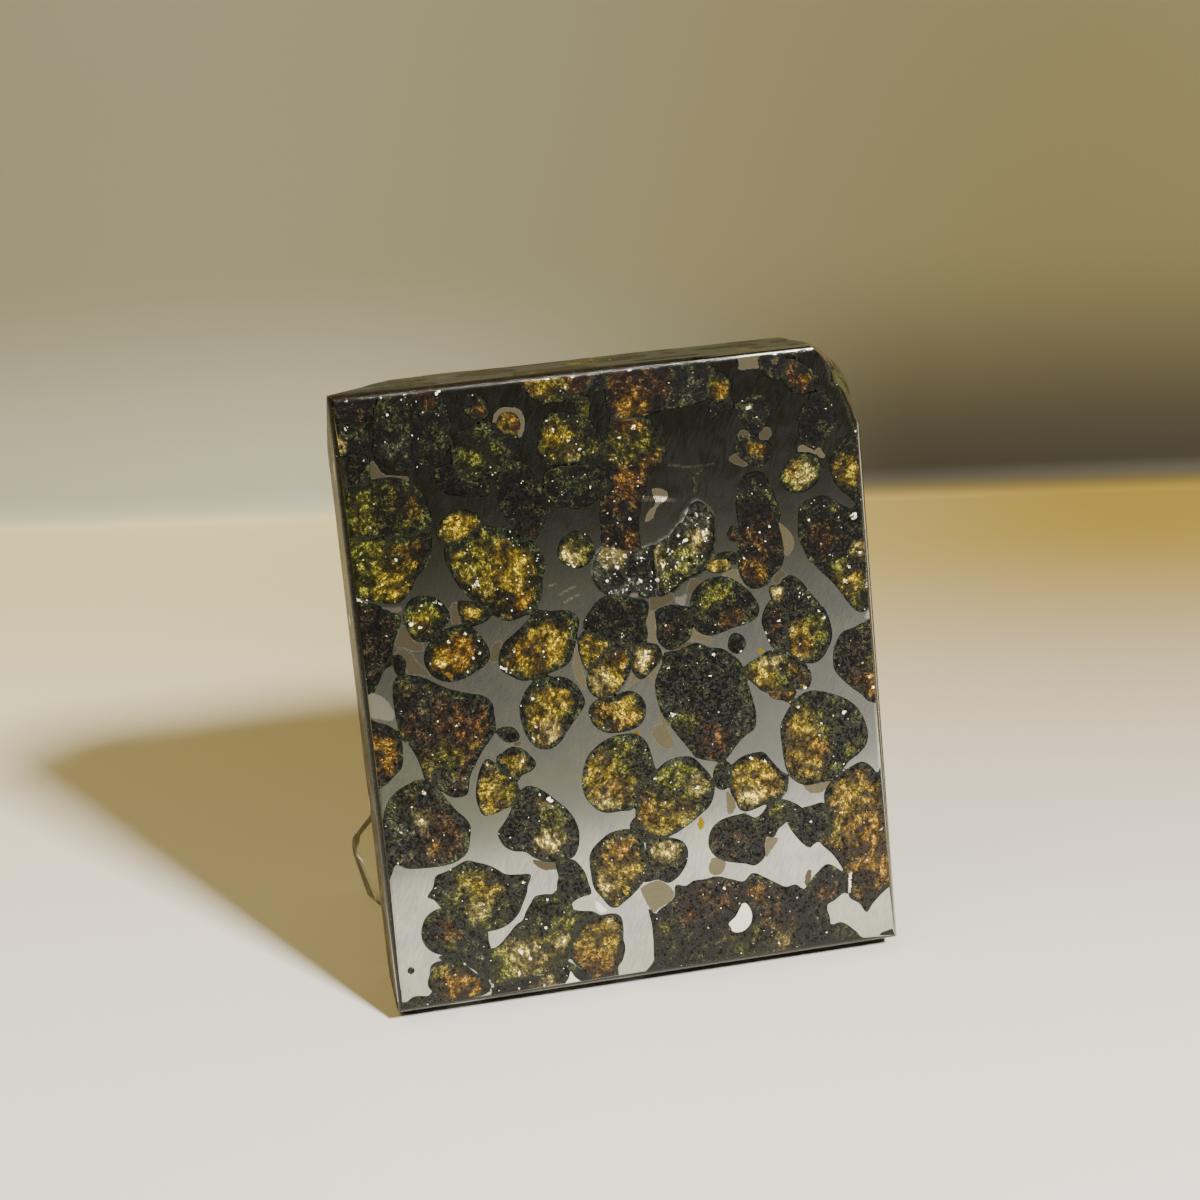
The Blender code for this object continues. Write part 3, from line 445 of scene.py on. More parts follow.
          ((9.1, 0.6), (9.6, 1.4), (11.2, 1.6), (13.0, 1.7), (14.6, 1.8), (16.0, 2.3), (17.0, 2.6), (18.2, 1.6),
           (19.0, 0.9), (20.0, 0.3), (20.0, -1.0), (9.0, -1.0)), ((14.6, 0.8, 0.6, Tone.CREAM, 0.7),)),
    Grain("orange_brown_foot", Tone.AMBER, 0.45, 0.75, 0.1,
          ((17.1, 3.4), (17.4, 4.4), (17.9, 5.4), (18.6, 6.3), (19.4, 6.8), (20.6, 6.9), (21.8, 6.9), (22.5, 6.4),
           (22.6, 5.2), (22.5, 4.2), (22.6, 3.2), (22.2, 2.0), (21.7, 1.3), (21.6, -1.0), (19.6, -1.0), (18.8, 1.2),
           (18.2, 1.8), (17.6, 2.4)),
          ((20.0, 4.6, 1.5, Tone.GOLD, 0.7), (21.6, 6.4, 0.5, Tone.CREAM, 0.8), (19.0, 2.6, 1.0, Tone.RUST, 0.8),
           (20.4, 0.4, 0.8, Tone.BLACK_GREEN, 0.5))),
    Grain("gold_brown_tall", Tone.GOLD, 0.55, 0.75, 0.4,
          ((20.0, 12.8), (20.4, 13.7), (21.2, 14.4), (22.2, 15.0), (23.6, 15.2), (24.7, 14.9), (25.3, 14.1),
           (25.5, 12.8), (25.7, 11.4), (25.4, 10.3), (24.8, 9.4), (23.8, 8.5), (22.9, 7.9), (22.2, 7.5),
           (21.5, 7.7), (20.9, 8.6), (20.2, 9.7), (20.0, 11.0)),
          ((23.4, 13.2, 1.4, Tone.AMBER, 0.8), (23.2, 10.6, 1.2, Tone.GOLD, 0.75), (22.0, 14.4, 0.7, Tone.SLATE, 0.7),
           (20.6, 12.2, 0.6, Tone.BLACK_GREEN, 0.2), (21.3, 9.9, 0.8, Tone.CREAM, 0.7), (24.3, 14.3, 0.4, Tone.AMBER, 0.9))),
    Grain("cream_green", Tone.SLATE, 0.35, 0.6, 0.6,
          ((25.8, 13.8), (27.0, 13.9), (28.4, 13.6), (29.3, 13.1), (29.7, 12.2), (29.5, 11.0), (29.0, 10.2),
           (28.4, 9.6), (27.5, 9.2), (26.5, 9.7), (25.6, 9.6), (25.1, 9.8), (25.7, 10.9), (25.8, 12.4)),
          ((27.3, 12.8, 1.0, Tone.CREAM, 0.9), (27.8, 10.9, 0.9, Tone.BLACK_GREEN, 0.5))),
    Grain("dark_contact", Tone.BLACK_GREEN, 0.1, 0.6, 0.0,
          ((24.2, 15.4), (24.8, 16.2), (25.1, 15.4), (25.8, 14.6), (26.6, 13.9), (25.4, 13.7), (24.9, 14.9)), ()),
    Grain("small_black_round", Tone.BLACK_GREEN, 0.3, 0.7, 0.0,
          ((32.9, 19.3), (33.2, 20.2), (33.9, 20.6), (34.7, 20.2), (34.7, 19.0), (34.3, 18.0), (33.6, 17.8),
           (33.0, 18.3)), ()),
    Grain("orange_gold_lower", Tone.GOLD, 0.4, 1.0, 0.5,
          ((34.6, 19.4), (35.0, 20.2), (36.0, 20.8), (37.2, 21.0), (38.1, 20.9), (38.7, 20.1), (39.6, 18.9),
           (40.3, 18.2), (40.2, 17.1), (39.8, 16.4), (38.6, 16.0), (37.4, 15.6), (36.2, 15.3), (35.3, 15.5),
           (34.9, 16.5), (34.5, 17.5)),
          ((37.4, 18.6, 1.3, Tone.GOLD, 1.0), (38.6, 18.0, 1.0, Tone.AMBER, 1.0), (36.6, 16.8, 0.8, Tone.CREAM, 0.9),
           (39.2, 16.9, 0.6, Tone.MAROON, 0.6), (38.4, 20.4, 0.6, Tone.BLACK_GREEN, 0.1))),
    Grain("large_green_gold", Tone.BOTTLE, 0.5, 0.45, 0.7,
          ((40.0, 23.2), (40.4, 24.1), (41.0, 25.0), (41.7, 25.7), (42.4, 26.2), (43.6, 26.4), (45.2, 25.9),
           (46.8, 25.1), (47.8, 24.1), (48.4, 22.9), (48.7, 21.4), (48.4, 20.3), (47.6, 19.5), (46.6, 18.9),
           (45.7, 18.0), (44.6, 17.3), (43.4, 17.1), (42.0, 17.1), (41.1, 17.6), (40.4, 18.4), (40.1, 19.8),
           (40.0, 21.5)),
          ((41.8, 22.6, 1.3, Tone.GOLD, 1.0), (42.4, 20.6, 1.3, Tone.AMBER, 1.0), (41.2, 20.4, 1.0, Tone.GOLD, 0.9),
           (42.6, 18.8, 0.8, Tone.GOLD, 0.9), (44.0, 22.6, 0.8, Tone.OLIVE, 0.7), (46.9, 20.2, 0.6, Tone.OLIVE, 0.9),
           (46.0, 22.0, 1.4, Tone.BLACK_GREEN, 0.3), (44.4, 18.2, 0.6, Tone.OLIVE, 0.6),
           (42.0, 17.7, 0.6, Tone.BLACK_GREEN, 0.2))),
    Grain("dark_brown_right", Tone.MAROON, 0.5, 0.5, 0.3,
          ((45.8, 28.6), (45.9, 30.0), (46.3, 31.0), (46.9, 31.8), (48.0, 32.1), (49.2, 32.5), (51.2, 32.7),
           (51.2, 24.2), (50.0, 24.3), (49.0, 24.7), (48.4, 25.4), (47.6, 26.1), (46.8, 26.9), (46.1, 27.8)),
          ((48.6, 30.0, 0.7, Tone.MAROON, 0.9), (49.2, 26.2, 0.7, Tone.AMBER, 0.9), (48.1, 27.5, 0.6, Tone.RUST, 0.7),
           (47.0, 28.6, 1.2, Tone.BLACK_GREEN, 0.3), (49.4, 28.4, 0.5, Tone.OLIVE, 0.6))),
    Grain("brown_with_tail", Tone.MAROON, 0.3, 0.75, 0.1,
          ((31.9, 13.0), (32.3, 14.0), (33.2, 14.7), (34.6, 15.0), (35.8, 15.0), (36.6, 14.5), (37.4, 14.8),
           (38.4, 15.9), (39.4, 16.0), (40.4, 15.6), (41.3, 14.9), (40.5, 14.2), (39.6, 13.5), (38.9, 13.0),
           (38.4, 12.3), (37.6, 12.4), (37.4, 11.4), (37.3, 10.4), (36.3, 9.7), (35.4, 10.0), (34.2, 10.3),
           (33.3, 10.6), (32.4, 11.2), (31.9, 12.1)),
          ((39.4, 15.3, 1.0, Tone.OLIVE, 0.5), (36.0, 12.6, 1.8, Tone.BLACK_GREEN, 0.8),
           (34.8, 13.3, 0.9, Tone.RUST, 0.5))),
    Grain("dark_grey_wedge", Tone.BLACK_GREEN, 0.25, 0.85, 0.1,
          ((40.0, 13.3), (40.4, 14.0), (41.2, 14.7), (42.4, 14.9), (43.7, 15.0), (44.1, 13.8), (44.0, 12.4),
           (43.2, 11.4), (42.4, 11.0), (41.9, 10.7), (41.2, 11.3), (40.5, 12.3)), ()),
    Grain("large_orange_brown", Tone.AMBER, 0.45, 0.85, 0.3,
          ((43.8, 15.6), (44.4, 16.8), (45.4, 17.5), (46.6, 18.2), (47.9, 18.6), (48.8, 18.0), (49.4, 17.2),
           (49.9, 18.0), (51.2, 18.6), (51.2, 6.2), (49.8, 5.5), (48.9, 4.9), (47.9, 4.0), (47.2, 3.2), (46.6, 4.2),
           (45.6, 5.0), (45.6, 6.4), (45.3, 7.6), (44.8, 8.7), (44.2, 9.7), (43.3, 10.7), (43.0, 11.4), (43.9, 12.0),
           (44.1, 13.6)),
          ((46.4, 15.0, 1.8, Tone.GOLD, 0.85), (46.8, 12.4, 1.8, Tone.AMBER, 0.8), (48.4, 9.0, 1.5, Tone.AMBER, 0.6),
           (44.9, 9.4, 1.2, Tone.BLACK_GREEN, 0.7), (47.4, 5.4, 1.6, Tone.BLACK_GREEN, 0.7),
           (50.0, 14.6, 0.9, Tone.BLACK_GREEN, 0.4), (49.2, 17.0, 0.8, Tone.BLACK_GREEN, 0.3),
           (46.0, 9.6, 0.8, Tone.BLACK_GREEN, 0.6), (49.4, 11.2, 0.5, Tone.GOLD, 1.0),
           (44.9, 11.9, 0.8, Tone.OLIVE, 0.8))),
    Grain("green_gold_round", Tone.OLIVE, 0.45, 0.7, 0.5,
          ((20.0, 20.2), (20.2, 21.5), (20.8, 22.9), (21.8, 23.8), (23.0, 24.4), (24.4, 24.6), (25.6, 24.5),
           (26.5, 23.7), (26.9, 22.6), (27.1, 21.4), (27.2, 20.4), (26.2, 19.6), (25.3, 18.9), (25.1, 18.0),
           (24.6, 17.1), (23.4, 17.1), (22.2, 17.1), (21.3, 17.5), (20.6, 18.3), (20.2, 19.0)),
          ((21.5, 20.8, 1.2, Tone.GOLD, 1.0), (22.2, 22.2, 0.9, Tone.GOLD, 0.9), (23.0, 19.2, 1.2, Tone.AMBER, 0.7),
           (25.0, 22.0, 1.4, Tone.OLIVE, 0.45), (22.7, 23.7, 0.8, Tone.BLACK_GREEN, 0.2), (22.2, 18.0, 0.8, Tone.CREAM, 0.8),
           (26.2, 20.6, 0.8, Tone.BOTTLE, 0.3))),
    Grain("green_gold_round_right", Tone.OLIVE, 0.45, 0.8, 0.6,
          ((27.3, 20.5), (28.0, 21.1), (28.9, 21.5), (30.0, 21.6), (31.0, 21.4), (31.8, 20.5), (32.5, 19.5),
           (32.9, 18.4), (32.7, 17.2), (32.2, 16.3), (31.4, 15.7), (30.4, 15.0), (29.5, 14.5), (28.4, 14.0),
           (27.0, 13.9), (25.9, 14.4), (25.1, 15.3), (24.9, 16.5), (25.2, 17.8), (25.3, 18.8), (26.2, 19.6)),
          ((29.6, 19.8, 1.2, Tone.OLIVE, 1.0), (26.0, 16.4, 0.9, Tone.AMBER, 0.9), (26.2, 18.8, 0.9, Tone.RUST, 0.5),
           (28.6, 16.2, 1.2, Tone.GOLD, 0.8), (31.8, 17.2, 0.9, Tone.BLACK_GREEN, 0.3), (27.3, 16.4, 0.3, Tone.BLACK_GREEN, 0.2),
           (31.2, 18.6, 0.6, Tone.CREAM, 0.9), (29.0, 17.8, 0.8, Tone.BOTTLE, 0.5), (27.4, 14.9, 0.7, Tone.GOLD, 0.9))),
    Grain("small_green_round", Tone.OLIVE, 0.35, 0.75, 0.5,
          ((20.0, 43.6), (20.3, 44.2), (21.0, 44.7), (21.9, 44.8), (22.8, 44.3), (23.3, 43.4), (23.2, 42.4),
           (22.5, 41.6), (21.6, 41.3), (20.7, 41.7), (20.1, 42.2), (19.8, 42.9)),
          ((20.9, 42.6, 0.8, Tone.CREAM, 0.9), (22.4, 43.9, 0.8, Tone.BLACK_GREEN, 0.3), (22.3, 42.4, 0.6, Tone.OLIVE, 0.7))),
    Grain("large_foot", Tone.MAROON, 0.3, 0.55, 0.3,
          ((25.5, -1.0), (25.4, 1.6), (25.5, 3.4), (25.5, 5.2), (25.3, 6.9), (25.9, 6.2), (26.4, 6.6), (27.3, 7.1),
           (28.0, 7.7), (28.2, 8.8), (29.2, 8.6), (30.0, 9.0), (31.2, 9.0), (32.4, 9.1), (33.8, 8.6), (35.0, 8.2),
           (36.0, 8.9), (37.3, 8.2), (38.2, 7.6), (39.2, 7.0), (40.2, 7.1), (41.0, 6.5), (41.7, 7.2), (42.4, 7.9),
           (43.6, 8.7), (44.8, 7.9), (45.4, 7.2), (45.5, 5.6), (44.9, 5.5), (44.0, 4.9), (43.3, 4.6), (43.2, 4.0),
           (43.4, 3.2), (43.5, 2.4), (44.6, 2.5), (45.8, 1.5), (46.3, 0.8), (47.0, -1.0)),
          ((29.4, 5.2, 0.6, Tone.RUST, 0.8), (33.4, 6.6, 0.8, Tone.RUST, 0.8), (36.3, 6.9, 0.6, Tone.AMBER, 0.7),
           (38.2, 3.6, 1.2, Tone.RUST, 0.6), (43.3, 5.6, 0.7, Tone.RUST, 0.8), (28.0, 2.4, 2.0, Tone.BLACK_GREEN, 0.9),
           (35.5, 1.2, 2.0, Tone.OLIVE, 0.35), (42.4, 2.4, 2.4, Tone.BLACK_GREEN, 0.8), (26.9, 4.4, 0.5, Tone.OLIVE, 0.8),
           (38.2, 1.4, 0.5, Tone.CREAM, 0.7), (43.4, 7.4, 1.0, Tone.BLACK_GREEN, 0.8), (30.4, 8.0, 1.2, Tone.RUST, 0.4))),
    Grain("dark_foot_right", Tone.BLACK_GREEN, 0.1, 0.8, 0.1,
          ((48.0, -1.0), (48.4, 0.6), (49.2, 0.9), (49.8, 1.0), (49.9, 0.4), (50.6, -1.0)), ()),
)


PATCHES = (
    Patch(Part.PHOSPHIDE, Tone.PALE_TAN, ((14.9, 55.6), (15.3, 56.8), (16.4, 57.2), (17.6, 56.8), (17.95, 55.6),
                                          (17.5, 54.4), (16.4, 54.1), (15.3, 54.5))),
    Patch(Part.PHOSPHIDE, Tone.TAN, ((3.5, 53.7), (3.0, 52.8), (3.2, 52.0), (4.5, 51.9), (6.4, 51.4), (6.5, 51.8),
                                     (5.0, 52.1), (4.2, 52.4))),
    Patch(Part.PHOSPHIDE, Tone.PALE_TAN, ((38.8, 59.7), (40.9, 59.7), (40.7, 58.8), (40.8, 58.3), (39.5, 58.3),
                                          (38.7, 58.3), (38.9, 58.9))),
    Patch(Part.PHOSPHIDE, Tone.TAN, ((37.1, 50.0), (37.9, 50.4), (38.3, 49.8), (38.9, 49.3), (38.4, 49.1),
                                     (37.4, 49.6))),
    Patch(Part.PHOSPHIDE, Tone.TAN, ((38.1, 52.0), (38.6, 52.6), (39.2, 52.3), (39.4, 51.9))),
    Patch(Part.PHOSPHIDE, Tone.PALE_TAN, ((43.8, 50.0), (44.3, 50.5), (45.0, 50.2), (45.6, 49.8), (46.0, 50.1),
                                          (46.5, 49.2), (46.2, 49.0), (45.6, 49.5), (44.7, 49.8))),
    Patch(Part.PHOSPHIDE, Tone.PALE_TAN, ((29.4, 47.9), (30.1, 48.0), (30.8, 47.5), (30.7, 46.8), (29.8, 46.3),
                                          (29.2, 45.2), (28.5, 45.0), (28.8, 45.8), (29.6, 46.5), (29.5, 47.3))),
    Patch(Part.PHOSPHIDE, Tone.TAN, ((3.4, 35.2), (4.2, 35.7), (5.0, 35.2), (5.6, 34.2), (6.4, 33.2), (6.5, 32.7),
                                     (5.6, 33.0), (4.6, 33.2), (4.4, 33.9), (4.3, 34.8))),
    Patch(Part.PHOSPHIDE, Tone.TAN, ((3.6, 36.1), (4.1, 37.4), (4.6, 38.0), (5.0, 37.3), (5.5, 36.3), (6.2, 36.0),
                                       (6.2, 35.3), (5.4, 35.3), (4.6, 35.7))),
    Patch(Part.PHOSPHIDE, Tone.TAN, ((12.3, 33.5), (12.8, 35.0), (13.6, 35.3), (13.4, 34.2), (13.2, 33.4))),
    Patch(Part.PHOSPHIDE, Tone.TAN, ((9.2, 39.2), (9.8, 39.5), (9.9, 38.4), (9.9, 37.4), (9.3, 37.4), (9.1, 38.2))),
    Patch(Part.PHOSPHIDE, Tone.PALE_TAN, ((28.0, 36.5), (28.6, 36.0), (28.6, 34.8), (28.6, 33.2), (28.0, 33.2),
                                          (27.7, 33.8), (27.9, 34.8), (27.5, 35.3), (27.5, 35.9))),
    Patch(Part.PHOSPHIDE, Tone.TAN, ((28.3, 37.8), (29.8, 37.9), (30.6, 37.7), (30.4, 37.0), (29.6, 36.7),
                                     (28.5, 36.3), (28.1, 36.3), (28.2, 37.0))),
    Patch(Part.PHOSPHIDE, Tone.PALE_TAN, ((20.7, 34.2), (20.9, 33.2), (21.1, 31.4), (21.3, 30.3), (21.1, 29.4),
                                          (20.8, 29.8), (20.2, 31.6), (20.4, 32.8))),
    Patch(Part.PHOSPHIDE, Tone.PALE_TAN, ((24.8, 28.9), (25.3, 29.4), (25.9, 30.5), (26.5, 29.9), (25.8, 29.4),
                                          (25.2, 28.9))),
    Patch(Part.PHOSPHIDE, Tone.PALE_TAN, ((29.2, 32.5), (28.9, 31.4), (28.5, 30.6), (27.9, 30.0), (27.3, 29.9),
                                          (28.1, 30.9), (28.7, 31.9))),
    Patch(Part.PHOSPHIDE, Tone.PALE_TAN, ((27.9, 29.2), (28.4, 29.5), (28.4, 30.2), (27.9, 30.1))),
    Patch(Part.PHOSPHIDE, Tone.PALE_TAN, ((32.1, 34.1), (32.6, 33.6), (33.4, 33.2), (33.9, 32.9), (33.6, 32.3),
                                          (32.8, 32.7), (32.0, 32.9), (31.9, 33.4))),
    Patch(Part.PHOSPHIDE, Tone.TAN, ((32.5, 39.0), (33.0, 38.7), (33.4, 38.4), (32.9, 37.9), (32.3, 37.3),
                                     (31.9, 37.8), (32.1, 38.4))),
    Patch(Part.PHOSPHIDE, Tone.TAN, ((33.2, 40.9), (33.8, 41.2), (34.8, 41.0), (35.0, 40.6), (34.2, 40.3),
                                     (33.6, 40.0), (33.2, 40.3))),
    Patch(Part.PHOSPHIDE, Tone.PALE_TAN, ((36.4, 39.3), (37.0, 39.3), (37.1, 38.6), (37.5, 37.9), (37.8, 37.2),
                                          (37.3, 37.6), (36.5, 38.4), (35.4, 38.9))),
    Patch(Part.PHOSPHIDE, Tone.PALE_TAN, ((41.3, 43.2), (41.8, 43.0), (42.3, 42.5), (42.8, 41.6), (42.6, 40.6),
                                       (41.9, 40.0), (41.7, 41.0), (41.5, 42.3))),
    Patch(Part.PHOSPHIDE, Tone.TAN, ((41.3, 38.8), (41.8, 38.2), (41.3, 37.9), (41.0, 37.4), (40.5, 37.5),
                                     (40.4, 38.0), (40.9, 38.5))),
    Patch(Part.PHOSPHIDE, Tone.PALE_TAN, ((27.2, 24.4), (27.8, 25.1), (28.6, 24.9), (29.1, 23.9), (29.3, 22.8),
                                          (28.5, 22.6), (27.7, 23.3))),
    Patch(Part.PHOSPHIDE, Tone.PALE_TAN, ((28.1, 26.3), (28.6, 25.9), (29.0, 25.1), (28.9, 24.6), (28.5, 25.0),
                                       (28.1, 25.6))),
    Patch(Part.PHOSPHIDE, Tone.TAN, ((14.4, 13.4), (15.2, 13.3), (16.8, 12.9), (16.6, 12.2), (15.2, 12.4))),
    Patch(Part.PHOSPHIDE, Tone.PALE_TAN, ((24.7, 8.9), (25.2, 9.3), (26.3, 9.6), (27.1, 9.3), (27.9, 8.4),
                                          (27.9, 7.7), (27.2, 7.1), (26.3, 6.7), (25.8, 6.4), (25.2, 7.4))),
    Patch(Part.PHOSPHIDE, Tone.PALE_TAN, ((37.5, 12.3), (38.6, 12.2), (38.8, 11.9), (38.3, 11.3), (37.9, 10.8),
                                          (37.5, 10.3), (37.3, 10.7), (37.5, 11.5))),
    Patch(Part.PHOSPHIDE, Tone.PALE_TAN, ((31.6, 9.9), (31.8, 10.7), (32.3, 11.1), (33.2, 10.7), (33.4, 10.2),
                                          (32.8, 9.3), (32.0, 9.3))),
    Patch(Part.PHOSPHIDE, Tone.TAN, ((32.4, 3.2), (32.9, 4.2), (33.3, 3.8), (33.3, 3.1))),
    Patch(Part.PHOSPHIDE, Tone.TAN, ((41.1, 7.0), (41.4, 8.2), (41.9, 8.4), (41.8, 7.4), (41.4, 6.8))),
    Patch(Part.PHOSPHIDE, Tone.PALE_TAN, ((41.8, 17.1), (42.8, 17.1), (43.9, 17.1), (44.8, 17.6), (45.0, 17.2),
                                          (44.4, 16.7), (43.8, 16.2), (43.0, 16.1), (42.3, 16.3))),
    Patch(Part.PHOSPHIDE, Tone.PALE_TAN, ((34.0, 15.3), (34.6, 15.4), (34.9, 16.2), (34.4, 17.4), (34.0, 17.6),
                                          (34.0, 16.4))),
    Patch(Part.PHOSPHIDE, Tone.TAN, ((12.6, 25.0), (13.5, 25.2), (14.5, 25.4), (14.4, 24.9), (13.4, 25.0))),
    Patch(Part.BRIGHT_METAL_AND_HIGHLIGHT, Tone.CREAM, ((0.4, 31.6), (1.2, 31.8), (2.2, 31.0), (2.8, 29.8), (2.6, 29.0),
                                          (1.6, 29.2), (0.4, 29.8))),
    Patch(Part.BRIGHT_METAL_AND_HIGHLIGHT, Tone.CREAM, ((2.5, 39.9), (3.4, 39.8), (4.4, 39.7), (4.8, 39.9), (4.5, 39.2),
                                          (3.8, 39.3))),
    Patch(Part.BRIGHT_METAL_AND_HIGHLIGHT, Tone.CREAM, ((49.2, 32.9), (49.7, 33.6), (50.2, 33.5), (50.2, 32.9), (49.7, 32.8))),
    Patch(Part.BRIGHT_METAL_AND_HIGHLIGHT, Tone.CREAM, ((31.7, 44.5), (32.1, 45.5), (32.8, 45.7), (32.4, 44.9), (31.9, 44.3))),
    Patch(Part.BRIGHT_METAL_AND_HIGHLIGHT, Tone.CREAM, ((30.7, 36.9), (30.8, 37.4), (31.2, 37.3), (31.9, 37.6), (31.5, 36.4),
                                          (31.0, 36.6))),
    Patch(Part.BRIGHT_METAL_AND_HIGHLIGHT, Tone.CREAM, ((26.3, 38.4), (27.2, 38.4), (27.2, 37.9), (26.3, 37.9))),
    Patch(Part.BRIGHT_METAL_AND_HIGHLIGHT, Tone.CREAM, ((16.2, 0.2), (16.7, 1.0), (17.05, 1.8), (17.4, 1.1), (18.1, 0.2))),
    Patch(Part.PHOSPHIDE, Tone.TAN, ((40.3, 51.4), (41.3, 51.6), (41.3, 52.5), (40.4, 52.4))),
    Patch(Part.PHOSPHIDE, Tone.TAN, ((30.0, 32.2), (30.6, 32.0), (31.3, 32.4), (31.9, 32.6), (31.9, 32.9),
                                     (31.0, 32.8), (30.4, 32.5))),
    Patch(Part.PHOSPHIDE, Tone.GOLD, ((38.4, 30.8), (38.9, 30.8), (38.9, 31.2), (38.4, 31.2))),
    Patch(Part.PHOSPHIDE, Tone.AMBER, ((25.4, 24.5), (25.7, 24.9), (26.0, 24.6), (25.8, 24.2))),
    Patch(Part.PHOSPHIDE, Tone.GOLD, ((30.9, 14.7), (31.2, 14.0), (31.6, 14.7), (31.3, 15.4))),
    Patch(Part.BRIGHT_METAL_AND_HIGHLIGHT, Tone.CREAM, ((0.4, 54.1), (0.9, 53.9), (0.9, 51.0), (0.5, 50.6), (0.3, 52.0))),
    Patch(Part.BRIGHT_METAL_AND_HIGHLIGHT, Tone.CREAM, ((20.1, 8.4), (20.5, 8.2), (21.1, 7.4), (20.9, 7.2), (20.3, 7.4))),
    Patch(Part.BRIGHT_METAL_AND_HIGHLIGHT, Tone.CREAM, ((33.1, 4.1), (33.9, 4.8), (34.4, 5.6), (34.9, 6.1), (35.4, 5.5),
                                          (35.6, 4.6), (35.3, 3.7), (34.5, 3.1), (33.5, 3.2))),
)

